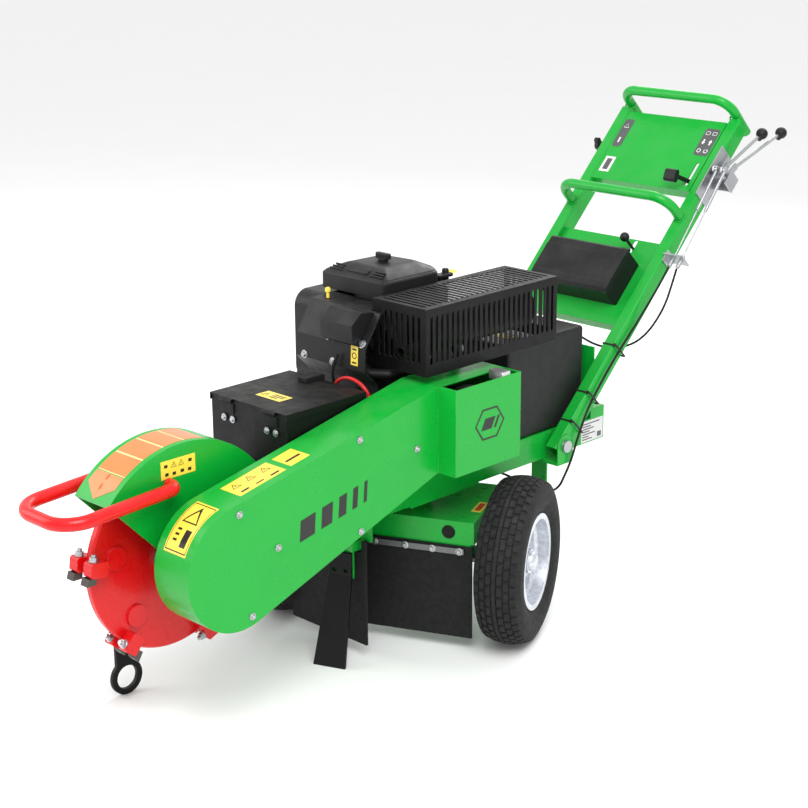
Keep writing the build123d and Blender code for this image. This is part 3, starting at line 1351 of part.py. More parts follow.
for name, x in (("brake_pull_rod", INNER_X + 11), ("swing_pull_rod", OUTER_X + 11)):
    top = handle_point(x, LEVER_V - 5, LEVER_N + CRANK_ARM - 4)
    foot = handle_point(x, ROD_FOOT_V - 12, ROD_FOOT_N)
    along = foot - top
    with BuildPart() as pull_rod:
        with BuildSketch(Plane(origin=top, x_dir=(1, 0, 0), z_dir=along)):
            Circle(4.5)
        extrude(amount=130)
        with BuildSketch(Plane(origin=top, x_dir=(1, 0, 0), z_dir=along)):
            Circle(2)
        extrude(amount=along.length)
        with BuildSketch(handle_side(x - 4, LEVER_V - 5, LEVER_N + CRANK_ARM - 4)):
            Circle(8)
        extrude(amount=8)
    pull_rod.part.label = name
    export_step(pull_rod.part, f"parts/{name}.step")

THROTTLE_REACH = 118.0


def throttle_side(x):
    """Plane facing +X at the throttle pivot, turned with the lever's tilt; sketch y along the lever."""
    tilt = radians(ARM_SLOPE + THROTTLE_TILT)
    return Plane(origin=handle_point(x, SLOT_V, THROTTLE_N), x_dir=(0, cos(tilt), sin(tilt)), z_dir=(1, 0, 0))


with BuildPart() as throttle_lever:
    with BuildSketch(throttle_side(SLOT_X - 2)):
        with Locations((0, THROTTLE_REACH / 2 - 8)):
            RectangleRounded(12, THROTTLE_REACH + 8, 4)
    extrude(amount=4)
    with BuildSketch(throttle_side(SLOT_X - 2)):
        Circle(4)
    extrude(amount=16)
    with BuildSketch(throttle_side(SLOT_X - 36)):
        with Locations((0, THROTTLE_REACH + 2)):
            SlotOverall(36, 18)
    extrude(amount=38)
    fillet(throttle_lever.faces().sort_by(Axis.X)[0].edges(), 5)
throttle_lever.part.label = "throttle_lever"
export_step(throttle_lever.part, "parts/throttle_lever.step")

with BuildPart() as clamp_knob:
    with BuildSketch(handle_side(-ARM_X1 - 0.5, 925, 0)):
        Circle(5)
    extrude(amount=-18)
    with BuildSketch(handle_side(-ARM_X1 - 18.5, 925, 0)):
        SlotOverall(50, 16, rotation=70)
        Circle(13)
    extrude(amount=-14)
    fillet(clamp_knob.faces().sort_by(Axis.X)[0].edges(), 3)
clamp_knob.part.label = "clamp_knob"
export_step(clamp_knob.part, "parts/clamp_knob.step")

with BuildPart() as lock_lever:
    with BuildSketch(handle_side(LOCK_X - 3, LOCK_V, -8)):
        Circle(9)
    extrude(amount=8)
    with BuildSketch(handle_side(LOCK_X - 3, LOCK_V, -8)):
        Circle(4)
    extrude(amount=14)
    with BuildSketch(handle(LOCK_V, -8, LOCK_X + 1)):
        Circle(4)
    extrude(amount=62)
    with Locations(handle_point(LOCK_X + 1, LOCK_V, 60)):
        Sphere(13)
lock_lever.part.label = "lock_lever"
export_step(lock_lever.part, "parts/lock_lever.step")

# ---------------------------------------------------------------- cables and bolts

CABLE_R = 3.0

# each route is held along its way by the machine; the first two start in the adjusters
brake_route = [
    handle_point(INNER_X + 11, 565, ROD_FOOT_N), handle_point(224, 500, 8), handle_point(211, 400, -4),
    handle_point(209, 260, 4), handle_point(210, 120, 0), handle_point(214, 40, -18),
    machine_point(216, 412, 378), machine_point(196, 385, 300), machine_point(150, 345, 292),
    machine_point(95, 300, 345), machine_point(64, 244, 362), machine_point(57, 196, 374),
    machine_point(56, 156, 381), machine_point(56, 120.2, 382),
]
swing_route = [
    handle_point(OUTER_X + 11, 565, ROD_FOOT_N), machine_point(253, 770, 790), machine_point(250, 752, 745),
    machine_point(243, 726, 704), machine_point(230, 700, 668), machine_point(206, 676, 640),
    machine_point(172, 648, 627), machine_point(136, 618, 632), machine_point(108, 590, 652),
    machine_point(84, 566, 678), machine_point(58, 543, 676), machine_point(38, 537, 654),
    machine_point(30, 536, 620), machine_point(28, 538, 590), machine_point(SLEEVE_X, 543, 563),
    machine_point(SLEEVE_X, 557, SLEEVE_Z + 1),
]
lead_route = [
    machine_point(-8, -235.8, 644), machine_point(-8, -216, 652), machine_point(0, -214, 684),
    machine_point(38, -216, 706), machine_point(80, -216, 703), machine_point(106, -212, 684),
    machine_point(111, -208, 662), machine_point(123, -206, 652),
]
spark_route = [
    machine_point(4, -208, 752), machine_point(-4, -215, 726), machine_point(-10, -213, 700),
    machine_point(-14, -204, 676), machine_point(-16, -188, 655), machine_point(-16, -168, 636),
    machine_point(-15, -146, 622), machine_point(-14, -126, 612), machine_point(-14, -110.3, 604),
]

with BuildPart() as cables:
    for route, radius in ((brake_route, CABLE_R), (lead_route, 3.5), (spark_route, 4.0)):
        radii = route_radii(route)
        print("bend radii", [round(r) for r in radii])
        with BuildLine() as cable_path:
            FilletPolyline(*route, radius=radii)
        with BuildSketch(cable_path.line ^ 0):
            Circle(radius)
        sweep()
cables.part.label = "cables"
export_step(cables.part, "parts/cables.step")

# the swing cable hangs free between the lever's bracket and the rear plate
with BuildPart() as swing_cable:
    radii = route_radii(swing_route)
    print("swing cable bend radii", [round(r) for r in radii])
    with BuildLine() as swing_path:
        FilletPolyline(*swing_route, radius=radii)
    with BuildSketch(swing_path.line ^ 0):
        Circle(CABLE_R)
    sweep()
swing_length = sum(edge.length for edge in swing_path.line.edges())
swing_ratio = swing_cable.part.volume / (pi * CABLE_R**2 * swing_length)
print("swing cable length", round(swing_length), "volume ratio", round(swing_ratio, 4))
swing_cable.part.label = "swing_cable"
export_step(swing_cable.part, "parts/swing_cable.step")

COVER_BOLTS = ((-727, 552), (-621, 447), (-371, 633), (-188, 567), (-371, 414), (-700, 310))

with BuildPart() as frame_bolts:
    with BuildSketch(side(COVER_X1 + 0.2)):
        with Locations(*COVER_BOLTS):
            Circle(8.5)
    extrude(amount=2)
    with BuildSketch(side(COVER_X1 + 2.2)):
        with Locations(*COVER_BOLTS):
            Circle(6.5)
    extrude(amount=5, taper=25)
    for x, length in ((BEAM_OUT_X - 4, PLATE_X - BEAM_OUT_X + 4), (-PLATE_X, PLATE_X - BEAM_OUT_X + 4)):
        with BuildSketch(side(x, ARM_FOOT_Y, ARM_FOOT_Z)):
            Circle(9.5)
        extrude(amount=length)
    for x, reach in ((PLATE_X, 9), (-PLATE_X, -9)):
        with BuildSketch(side(x, ARM_FOOT_Y, ARM_FOOT_Z)):
            Circle(17)
        extrude(amount=reach, taper=8)
frame_bolts.part.label = "frame_bolts"
export_step(frame_bolts.part, "parts/frame_bolts.step")
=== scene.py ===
"""Looks of the stump grinder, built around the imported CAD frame. Metres, +Z up, +Y towards the handles."""

import json
from math import cos, pi, radians, sin, sqrt

import bmesh
import bpy
from mathutils import Matrix, Vector


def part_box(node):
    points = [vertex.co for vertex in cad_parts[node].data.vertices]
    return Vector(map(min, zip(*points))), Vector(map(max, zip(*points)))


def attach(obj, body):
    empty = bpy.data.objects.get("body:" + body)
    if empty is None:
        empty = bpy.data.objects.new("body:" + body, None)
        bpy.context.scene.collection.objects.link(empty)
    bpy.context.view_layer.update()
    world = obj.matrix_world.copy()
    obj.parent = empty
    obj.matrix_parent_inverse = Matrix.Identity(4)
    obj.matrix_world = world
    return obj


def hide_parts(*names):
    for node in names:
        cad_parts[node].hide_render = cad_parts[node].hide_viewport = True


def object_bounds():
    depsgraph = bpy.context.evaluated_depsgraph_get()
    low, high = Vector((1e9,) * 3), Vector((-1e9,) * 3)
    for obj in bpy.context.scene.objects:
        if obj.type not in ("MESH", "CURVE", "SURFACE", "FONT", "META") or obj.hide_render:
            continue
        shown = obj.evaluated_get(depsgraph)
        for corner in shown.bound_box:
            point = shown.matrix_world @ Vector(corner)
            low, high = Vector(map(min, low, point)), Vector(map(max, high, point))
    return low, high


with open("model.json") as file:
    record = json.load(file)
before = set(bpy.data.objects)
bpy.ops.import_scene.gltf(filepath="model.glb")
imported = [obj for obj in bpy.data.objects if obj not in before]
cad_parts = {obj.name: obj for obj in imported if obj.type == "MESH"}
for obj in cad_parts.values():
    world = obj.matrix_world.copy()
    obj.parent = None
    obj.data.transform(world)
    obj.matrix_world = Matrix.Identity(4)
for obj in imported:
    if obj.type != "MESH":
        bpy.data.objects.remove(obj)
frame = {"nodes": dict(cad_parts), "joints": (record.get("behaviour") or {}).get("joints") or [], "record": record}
CAD_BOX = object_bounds()
REAR_LIMIT = CAD_BOX[1][1]  # the levers' ball skins stop here, where the CAD box ends
NODES = frame["nodes"]
MM = 0.001

# ---------------------------------------------------------------- camera, lights, floor

CAMERA_AT = (2.980, -3.074, 1.892)
CAMERA_AZIMUTH = 44.66
CAMERA_DOWN = 17.23
CAMERA_ROLL = -0.34
CAMERA_LENS = 79.6
FLOOR_HALF = 60.0
WORLD_STRENGTH = 0.95


def make_camera():
    """Camera at the photographed angle."""
    data = bpy.data.cameras.new("camera")
    data.lens = CAMERA_LENS
    data.sensor_width = 36.0
    data.clip_end = 60.0
    camera = bpy.data.objects.new("camera", data)
    bpy.context.scene.collection.objects.link(camera)
    turn = Matrix.Rotation(radians(CAMERA_AZIMUTH), 4, "Z") @ Matrix.Rotation(radians(90 - CAMERA_DOWN), 4, "X")
    camera.matrix_world = Matrix.Translation(CAMERA_AT) @ turn @ Matrix.Rotation(radians(CAMERA_ROLL), 4, "Z")
    bpy.context.scene.camera = camera


def make_light(name, place, target, size, power):
    """A square soft box that looks at a target point."""
    data = bpy.data.lights.new(name, "AREA")
    data.shape = "SQUARE"
    data.size = size
    data.energy = power
    light = bpy.data.objects.new(name, data)
    bpy.context.scene.collection.objects.link(light)
    aim = (Vector(target) - Vector(place)).to_track_quat("-Z", "Y")
    light.matrix_world = Matrix.Translation(place) @ aim.to_matrix().to_4x4()


def make_world():
    """Even pale surroundings."""
    world = bpy.data.worlds.new("studio")
    world.use_nodes = True
    background = world.node_tree.nodes["Background"]
    background.inputs["Color"].default_value = (1.0, 1.0, 1.0, 1.0)
    background.inputs["Strength"].default_value = WORLD_STRENGTH
    bpy.context.scene.world = world
    bpy.context.scene.view_settings.view_transform = "Standard"


def make_floor():
    """Plain pale studio floor."""
    mesh = bpy.data.meshes.new("floor")
    corners = [(x * FLOOR_HALF, y * FLOOR_HALF, 0) for x, y in ((-1, -1), (1, -1), (1, 1), (-1, 1))]
    mesh.from_pydata(corners, [], [(0, 1, 2, 3)])
    floor = bpy.data.objects.new("floor", mesh)
    bpy.context.scene.collection.objects.link(floor)
    mesh.materials.append(plain("floor_paper", (0.93, 0.93, 0.93), 0.7))


# ---------------------------------------------------------------- materials

class Graph:
    """A material's node tree with short ways to add and join nodes."""

    def __init__(self, name):
        self.material = bpy.data.materials.new(name)
        self.material.use_nodes = True
        self.tree = self.material.node_tree
        self.tree.nodes.clear()
        self.output = self.add("ShaderNodeOutputMaterial")
        self.shader = self.add("ShaderNodeBsdfPrincipled")
        self.join(self.shader.outputs[0], self.output.inputs["Surface"])
        self.place = self.add("ShaderNodeTexCoord").outputs["Object"]
        self.rounded = None

    def add(self, kind, **settings):
        node = self.tree.nodes.new(kind)
        for key, value in settings.items():
            setattr(node, key, value)
        return node

    def join(self, source, socket):
        self.tree.links.new(source, socket)

    def feed(self, socket, value):
        """Joins a link or sets a constant."""
        if isinstance(value, bpy.types.NodeSocket):
            self.join(value, socket)
        else:
            socket.default_value = value

    def noise(self, scale, detail=3.0, roughness=0.55, stretch=None):
        """Noise from 0 to 1 in object space."""
        node = self.add("ShaderNodeTexNoise")
        node.inputs["Scale"].default_value = scale
        node.inputs["Detail"].default_value = detail
        node.inputs["Roughness"].default_value = roughness
        place = self.place
        if stretch:
            mapping = self.add("ShaderNodeMapping")
            mapping.inputs["Scale"].default_value = stretch
            self.join(self.place, mapping.inputs["Vector"])
            place = mapping.outputs[0]
        self.join(place, node.inputs["Vector"])
        return node.outputs["Fac"]

    def cells(self, scale):
        node = self.add("ShaderNodeTexVoronoi", feature="F1")
        node.inputs["Scale"].default_value = scale
        self.join(self.place, node.inputs["Vector"])
        return node

    def remap(self, value, low, high, out_low, out_high):
        node = self.add("ShaderNodeMapRange")
        self.join(value, node.inputs["Value"])
        node.inputs["From Min"].default_value = low
        node.inputs["From Max"].default_value = high
        node.inputs["To Min"].default_value = out_low
        node.inputs["To Max"].default_value = out_high
        return node.outputs[0]

    def math(self, operation, first, second=0.0):
        node = self.add("ShaderNodeMath", operation=operation)
        self.feed(node.inputs[0], first)
        self.feed(node.inputs[1], second)
        return node.outputs[0]

    def mix(self, factor, first, second):
        node = self.add("ShaderNodeMix", data_type="RGBA")
        self.feed(node.inputs["Factor"], factor)
        self.feed(node.inputs[6], rgba(first))
        self.feed(node.inputs[7], rgba(second))
        return node.outputs[2]

    def edges(self, radius, low=0.02, high=0.25):
        """1 on sharp edges of the shape, 0 on its flats; the same rounded edges then catch the light."""
        bevel = self.add("ShaderNodeBevel", samples=6)
        bevel.inputs["Radius"].default_value = radius
        self.rounded = bevel.outputs[0]
        geometry = self.add("ShaderNodeNewGeometry")
        dot = self.add("ShaderNodeVectorMath", operation="DOT_PRODUCT")
        self.join(bevel.outputs[0], dot.inputs[0])
        self.join(geometry.outputs["Normal"], dot.inputs[1])
        return self.remap(self.math("SUBTRACT", 1.0, dot.outputs["Value"]), low, high, 0.0, 1.0)

    def upward(self):
        """1 where the surface faces up, 0 where it faces sideways or down."""
        geometry = self.add("ShaderNodeNewGeometry")
        split = self.add("ShaderNodeSeparateXYZ")
        self.join(geometry.outputs["Normal"], split.inputs[0])
        return self.remap(split.outputs["Z"], 0.2, 0.95, 0.0, 1.0)

    def bump(self, height, strength, distance):
        node = self.add("ShaderNodeBump")
        node.inputs["Strength"].default_value = strength
        node.inputs["Distance"].default_value = distance
        self.join(height, node.inputs["Height"])
        if self.rounded:
            self.join(self.rounded, node.inputs["Normal"])
        self.join(node.outputs[0], self.shader.inputs["Normal"])


def rgba(color):
    """A colour as four numbers; sockets pass through."""
    if isinstance(color, bpy.types.NodeSocket) or len(color) == 4:
        return color
    return (*color, 1.0)


def shade(color, factor):
    return tuple(min(1.0, c * factor) for c in color)


def plain(name, color, roughness):
    """A quiet surface with a little mottling."""
    graph = Graph(name)
    tone = graph.mix(graph.noise(3.0), shade(color, 0.985), shade(color, 1.01))
    graph.join(tone, graph.shader.inputs["Base Color"])
    graph.shader.inputs["Roughness"].default_value = roughness
    return graph.material


def coated(name, color, roughness=0.35, coat=0.25, peel=900.0, peel_depth=0.25, wear=0.5, wear_color=None,
           dust=0.04, variation=0.07, specular=0.3, mottle=0.06):
    """Paint, powder coat or moulded plastic: mottled colour, orange peel, pale worn edges, dust on top."""
    graph = Graph(name)
    wear_color = wear_color or tuple(0.35 * c + 0.3 for c in color)
    tone = graph.mix(graph.noise(7.0), shade(color, 1.0 - variation), shade(color, 1.0 + variation))
    speck = graph.remap(graph.noise(520.0, 2.0), 0.45, 0.8, 0.0, 1.0)
    tone = graph.mix(graph.math("MULTIPLY", speck, mottle), tone, shade(color, 0.75))
    patchy = graph.remap(graph.noise(55.0, 4.0), 0.42, 0.72, 0.0, 1.0)
    worn = graph.math("MULTIPLY", graph.edges(0.0016), graph.math("MULTIPLY", patchy, wear))
    tone = graph.mix(worn, tone, wear_color)
    settled = graph.math("MULTIPLY", graph.upward(), graph.remap(graph.noise(18.0, 5.0), 0.35, 0.75, 0.0, dust))
    tone = graph.mix(settled, tone, (0.55, 0.52, 0.46))
    graph.join(tone, graph.shader.inputs["Base Color"])
    rough = graph.remap(graph.noise(38.0, 4.0), 0.3, 0.7, roughness * 0.82, roughness * 1.22)
    graph.join(graph.math("ADD", rough, graph.math("MULTIPLY", settled, 0.5)), graph.shader.inputs["Roughness"])
    graph.shader.inputs["Coat Weight"].default_value = coat
    graph.shader.inputs["Coat Roughness"].default_value = 0.12
    graph.shader.inputs["Specular IOR Level"].default_value = specular
    graph.bump(graph.noise(peel, 2.0), peel_depth, 0.0004)
    return graph.material


def bare_metal(name, color, roughness=0.3, streak=(1.0, 1.0, 1.0), spangle=0.0, wear=0.35, scale=160.0):
    """Plated, machined or galvanised steel: spangle or brushed streaks, scratches and duller hollows."""
    graph = Graph(name)
    fine = graph.noise(scale, 5.0, 0.65, stretch=streak)
    tone = graph.mix(fine, shade(color, 0.80), shade(color, 1.12))
    stain = graph.remap(graph.noise(14.0, 5.0), 0.45, 0.75, 0.0, 0.35)
    tone = graph.mix(stain, tone, shade(color, 0.62))
    if spangle:
        crystal = graph.cells(95.0)
        tone = graph.mix(graph.math("MULTIPLY", crystal.outputs["Distance"], spangle), tone, shade(color, 1.35))
    tone = graph.mix(graph.math("MULTIPLY", graph.edges(0.0012), wear), tone, shade(color, 1.4))
    graph.join(tone, graph.shader.inputs["Base Color"])
    graph.join(graph.remap(fine, 0.25, 0.75, roughness * 0.7, roughness * 1.45), graph.shader.inputs["Roughness"])
    graph.shader.inputs["Metallic"].default_value = 0.92
    graph.bump(fine, 0.12, 0.0003)
    return graph.material


def soft_rubber(name, color, roughness=0.75, grain=700.0, depth=0.35, dust=0.25):
    """Matte rubber with fine grain, grey bloom and dusty upper faces."""
    graph = Graph(name)
    bloom = graph.remap(graph.noise(22.0, 5.0), 0.35, 0.75, 0.0, 0.5)
    tone = graph.mix(bloom, color, shade(color, 1.9))
    settled = graph.math("MULTIPLY", graph.upward(), graph.remap(graph.noise(40.0, 4.0), 0.4, 0.8, 0.0, dust))
    tone = graph.mix(settled, tone, (0.32, 0.30, 0.27))
    tone = graph.mix(graph.math("MULTIPLY", graph.edges(0.0015), 0.3), tone, shade(color, 2.6))
    graph.join(tone, graph.shader.inputs["Base Color"])
    graph.join(graph.remap(graph.noise(70.0), 0.3, 0.7, roughness * 0.9, min(1.0, roughness * 1.15)),
               graph.shader.inputs["Roughness"])
    graph.shader.inputs["Specular IOR Level"].default_value = 0.35
    graph.bump(graph.noise(grain, 3.0), depth, 0.0003)
    return graph.material


MATERIALS = {
    "green": coated("green_paint", (0.002, 0.34, 0.030), roughness=0.30, coat=0.10, specular=0.32, peel=260.0,
                    peel_depth=0.08, mottle=0.0),
    "red": coated("red_paint", (0.60, 0.003, 0.005), roughness=0.28, coat=0.10, specular=0.32, peel=260.0,
                  peel_depth=0.08, mottle=0.0, wear_color=(0.70, 0.18, 0.15)),
    "black": coated("black_powder", (0.0035, 0.0035, 0.0038), roughness=0.46, coat=0.0, specular=0.20,
                    peel=600.0, peel_depth=0.5, wear_color=(0.10, 0.10, 0.10)),
    "engine": coated("engine_black", (0.0045, 0.0045, 0.0048), roughness=0.38, coat=0.05, specular=0.26,
                     peel=450.0, peel_depth=0.6, wear_color=(0.16, 0.16, 0.16)),
    "plastic": coated("black_plastic", (0.008, 0.008, 0.009), roughness=0.40, coat=0.0, specular=0.26, peel=1100.0,
                      peel_depth=0.4, wear_color=(0.09, 0.09, 0.09)),
    "bright": bare_metal("bright_steel", (0.44, 0.44, 0.45), 0.28, streak=(1.0, 9.0, 9.0)),
    "zinc": bare_metal("zinc_plate", (0.46, 0.47, 0.49), 0.32, scale=220.0),
    "carbide": bare_metal("carbide", (0.11, 0.10, 0.095), 0.45),
    "cast": bare_metal("cast_iron", (0.22, 0.22, 0.23), 0.5, scale=320.0),
    "galvanised": bare_metal("galvanised", (0.60, 0.62, 0.66), 0.38, spangle=0.9, scale=120.0),
    "rubber": soft_rubber("rubber_sheet", (0.0045, 0.0045, 0.0048), dust=0.08),
    "tyre": soft_rubber("tyre_rubber", (0.0095, 0.0095, 0.010), roughness=0.82, depth=0.5, dust=0.10),
    "decal_yellow": coated("decal_yellow", (0.88, 0.66, 0.07), roughness=0.34, coat=0.3, peel_depth=0.1, wear=0.3,
                           wear_color=(0.75, 0.70, 0.45), variation=0.05),
    "decal_pale": coated("decal_pale", (0.80, 0.74, 0.30), roughness=0.36, coat=0.3, peel_depth=0.1, wear=0.3,
                         variation=0.05),
    "decal_orange": coated("decal_orange", (0.93, 0.20, 0.045), roughness=0.30, coat=0.4, peel_depth=0.1, wear=0.3,
                           wear_color=(0.95, 0.45, 0.25), variation=0.06),
    "decal_white": coated("decal_white", (0.80, 0.80, 0.79), roughness=0.40, coat=0.2, peel_depth=0.1, wear=0.2,
                          variation=0.04),
    "decal_grey": coated("decal_grey", (0.075, 0.080, 0.080), roughness=0.36, coat=0.3, peel_depth=0.2, wear=0.2,
                         variation=0.06),
    "decal_black": coated("decal_black", (0.012, 0.012, 0.012), roughness=0.40, coat=0.2, peel_depth=0.1,
                          wear=0.2),
    "red_cable": coated("red_cable", (0.55, 0.012, 0.012), roughness=0.45, coat=0.1, wear=0.2),
    "plate_metal": bare_metal("plate_metal", (0.66, 0.66, 0.66), 0.35, streak=(1.0, 14.0, 1.0), wear=0.2),
}
SLOT_MATERIAL = {
    "green_paint": "green", "red_paint": "red", "black_paint": "black", "engine_metal": "engine",
    "bright_steel": "bright", "zinc": "zinc", "carbide": "carbide", "cast_pulley": "cast",
    "black_plastic": "plastic", "tyre": "tyre", "rubber": "rubber", "galvanised": "galvanised",
}


# ---------------------------------------------------------------- places on the machine

SWING_JOINT = next(joint for joint in frame["joints"] if joint["name"] == "axle_swing")
WHEEL_JOINTS = {joint["child"]: joint for joint in frame["joints"] if joint["child"].startswith("wheel_")}
PIVOT_Y = SWING_JOINT["pos_m"][1]
SPIN = Vector(next(iter(WHEEL_JOINTS.values()))["axis"]).normalized()
AXLE_AHEAD = Vector((0, 0, 1)).cross(SPIN)
X, Y, Z = Vector((1, 0, 0)), Vector((0, 1, 0)), Vector((0, 0, 1))

ARM_FOOT = (400.0, 422.0)  # station and height where the handle frame starts, which leans back at 45 degrees
ALONG_ARM = Vector((0, 1, 1)).normalized()
OUT_OF_ARM = Vector((0, -1, 1)).normalized()


def machine(x, station, z):
    """A point from X, its station along the machine counted from the swing pivot, and its height, in mm."""
    return Vector((x * MM, PIVOT_Y + station * MM, z * MM))


def on_arm(x, v, n):
    """A point on the sloping handle frame: v up along the arms, n out of their upper faces."""
    return machine(x, *ARM_FOOT) + (ALONG_ARM * v + OUT_OF_ARM * n) * MM


def on_axle(x, ahead, z):
    """A point on the turned axle unit: x along the axle, ahead towards its own rear."""
    return Vector((0, PIVOT_Y, 0)) + SPIN * (x * MM) + AXLE_AHEAD * (ahead * MM) + Z * (z * MM)


def facing(origin, along, out):
    """Placement whose X runs along a surface and whose Z points out of it."""
    z = Vector(out).normalized()
    x = (Vector(along) - z * Vector(along).dot(z)).normalized()
    place = Matrix((x, z.cross(x), z)).transposed().to_4x4()
    place.translation = origin
    return place


# ---------------------------------------------------------------- shapes

def rounded_box(width, height, radius, steps=5):
    """Outline of a rectangle with round corners, centred, in mm."""
    points = []
    for quarter, (sx, sy) in enumerate(((1, 1), (-1, 1), (-1, -1), (1, -1))):
        for step in range(steps + 1):
            angle = (quarter + step / steps) * pi / 2
            points.append((sx * (width / 2 - radius) + radius * cos(angle),
                           sy * (height / 2 - radius) + radius * sin(angle)))
    return points


def regular(sides, radius, start=0.0):
    """Outline of a regular polygon or, with many sides, a disc."""
    return [(radius * cos(start + 2 * pi * i / sides), radius * sin(start + 2 * pi * i / sides))
            for i in range(sides)]


def add_prism(bm, outline, height, place, soft=0.6, low=0.0):
    """Raises an outline in mm along the placement's Z, with a softened top edge."""
    middle = Vector((sum(p[0] for p in outline), sum(p[1] for p in outline))) / len(outline)
    rings = []
    for inset, level in ((0.0, low), (0.0, height - soft), (soft, height)):
        ring = []
        for point in outline:
            away = Vector(point) - middle
            flat = middle + away * max(0.0, 1 - inset / max(away.length, inset))
            ring.append(bm.verts.new(place @ Vector((flat.x * MM, flat.y * MM, level * MM))))
        rings.append(ring)
    for below, above in zip(rings, rings[1:]):
        for i in range(len(outline)):
            j = (i + 1) % len(outline)
            bm.faces.new((below[i], below[j], above[j], above[i]))
    bm.faces.new(rings[-1])
    bm.faces.new(rings[0][::-1])


def round_corners(points, radius, steps):
    """Outline with each corner cut by a short curve that starts and ends a radius away from it."""
    outline = []
    for before, here, after in zip(points[-1:] + points[:-1], points, points[1:] + points[:1]):
        here = Vector(here)
        start = here + (Vector(before) - here).normalized() * radius
        end = here + (Vector(after) - here).normalized() * radius
        for step in range(steps + 1):
            t = step / steps
            outline.append((1 - t)**2 * start + 2 * t * (1 - t) * here + t**2 * end)
    return outline


def add_tiers(bm, outline, centre, tiers):
    """Stacked copies of an outline in mm about a centre, each with its scale and its height in metres."""
    rings = []
    for scale, z in tiers:
        rings.append([bm.verts.new((centre.x + p.x * scale * MM, centre.y + p.y * scale * MM, z))
                      for p in outline])
    for below, above in zip(rings, rings[1:]):
        for i in range(len(outline)):
            j = (i + 1) % len(outline)
            bm.faces.new((below[i], below[j], above[j], above[i]))
    bm.faces.new(rings[-1])
    bm.faces.new(rings[0][::-1])


def add_lathe(bm, profile, place, segments=36):
    """Turns a profile of (radius, height) in mm about the placement's Z."""
    rings = []
    for radius, height in profile:
        count = segments if radius else 1
        rings.append([bm.verts.new(place @ Vector((radius * MM * cos(2 * pi * i / segments),
                                                   radius * MM * sin(2 * pi * i / segments), height * MM)))
                      for i in range(count)])
    for below, above in zip(rings, rings[1:]):
        for i in range(segments):
            j = (i + 1) % segments
            corners = [below[i % len(below)], below[j % len(below)], above[j % len(above)], above[i % len(above)]]
            bm.faces.new(list(dict.fromkeys(corners)))


def add_bolt(bm, place, across=10.0, height=5.0, washer=True):
    """Hexagon head with a chamfered top on a thin washer."""
    lift = 0.0
    if washer:
        add_lathe(bm, [(0, 0), (across * 0.95, 0), (across * 0.95, 1.0), (across * 0.9, 1.3), (0, 1.3)], place)
        lift = 1.3
    add_prism(bm, regular(6, across * 0.577), height + lift, place, soft=across * 0.07, low=lift)


def finish_piece(name, bm, body, material, sharp=32):
    """Turns the built mesh into a named piece that rides on a body."""
    mesh = bpy.data.meshes.new(name)
    bmesh.ops.recalc_face_normals(bm, faces=bm.faces)
    bm.to_mesh(mesh)
    bm.free()
    mesh.polygons.foreach_set("use_smooth", [True] * len(mesh.polygons))
    mesh.set_sharp_from_angle(angle=radians(sharp))
    mesh.materials.append(MATERIALS[material])
    piece = bpy.data.objects.new(name, mesh)
    bpy.context.scene.collection.objects.link(piece)
    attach(piece, body)
    return piece


def bolts(name, body, places, across=10.0, height=5.0, material="zinc"):
    """A group of equal bolt heads."""
    bm = bmesh.new()
    for place in places:
        add_bolt(bm, place, across, height)
    return finish_piece(name, bm, body, material)


# ---------------------------------------------------------------- stickers

FILM = 0.35  # mm that each layer of film stands out
SHROUD_OUT = Vector((0, -74, 50)).normalized()  # out of the sloping front of the cylinder shroud
SHROUD_LIFT = 1.6 * MM


def flat(place):
    """Surface on which film coordinates are the placement's own X and Y."""
    return lambda u, v, out: place @ Vector((u * MM, v * MM, out * MM))


def rolled(centre, radius, middle_x):
    """Surface of a drum that lies along X: u runs along X, v is the angle from the rear in degrees."""
    def point(u, v, out):
        reach = radius + out
        return machine(middle_x + u, centre[0] + reach * cos(radians(v)), centre[1] + reach * sin(radians(v)))
    return point


def box(u0, v0, u1, v1):
    return [(u0, v0), (u1, v0), (u1, v1), (u0, v1)]


def outline_strips(points, thickness):
    """A polygon's outline as strips of a given thickness."""
    middle = Vector((sum(p[0] for p in points), sum(p[1] for p in points))) / len(points)
    inner = []
    for point in points:
        away = Vector(point) - middle
        inner.append(tuple(middle + away * (1 - thickness * 1.6 / away.length)))
    return [(points[i], points[i + 1 - len(points)], inner[i + 1 - len(points)], inner[i])
            for i in range(len(points))]


def film(name, body, surface, quads, material, layer=1, cuts=6):
    """Thin printed film made of four-cornered patches on a surface."""
    bm = bmesh.new()
    for a, b, c, d in quads:
        grid = {}
        for i in range(cuts + 1):
            for j in range(cuts + 1):
                s, t = i / cuts, j / cuts
                u = (1 - s) * (1 - t) * a[0] + s * (1 - t) * b[0] + s * t * c[0] + (1 - s) * t * d[0]
                v = (1 - s) * (1 - t) * a[1] + s * (1 - t) * b[1] + s * t * c[1] + (1 - s) * t * d[1]
                for level in (0, 1):
                    out = FILM * (layer - 1 + level) + 0.02
                    grid[i, j, level] = bm.verts.new(surface(u, v, out))
        for i in range(cuts):
            for j in range(cuts):
                for level in (0, 1):
                    bm.faces.new((grid[i, j, level], grid[i + 1, j, level],
                                  grid[i + 1, j + 1, level], grid[i, j + 1, level]))
        for i in range(cuts):
            for near, far in (((i, 0), (i + 1, 0)), ((i, cuts), (i + 1, cuts)),
                              ((0, i), (0, i + 1)), ((cuts, i), (cuts, i + 1))):
                bm.faces.new((grid[(*near, 0)], grid[(*far, 0)], grid[(*far, 1)], grid[(*near, 1)]))
    bmesh.ops.remove_doubles(bm, verts=bm.verts, dist=1e-7)
    return finish_piece(name, bm, body, material)


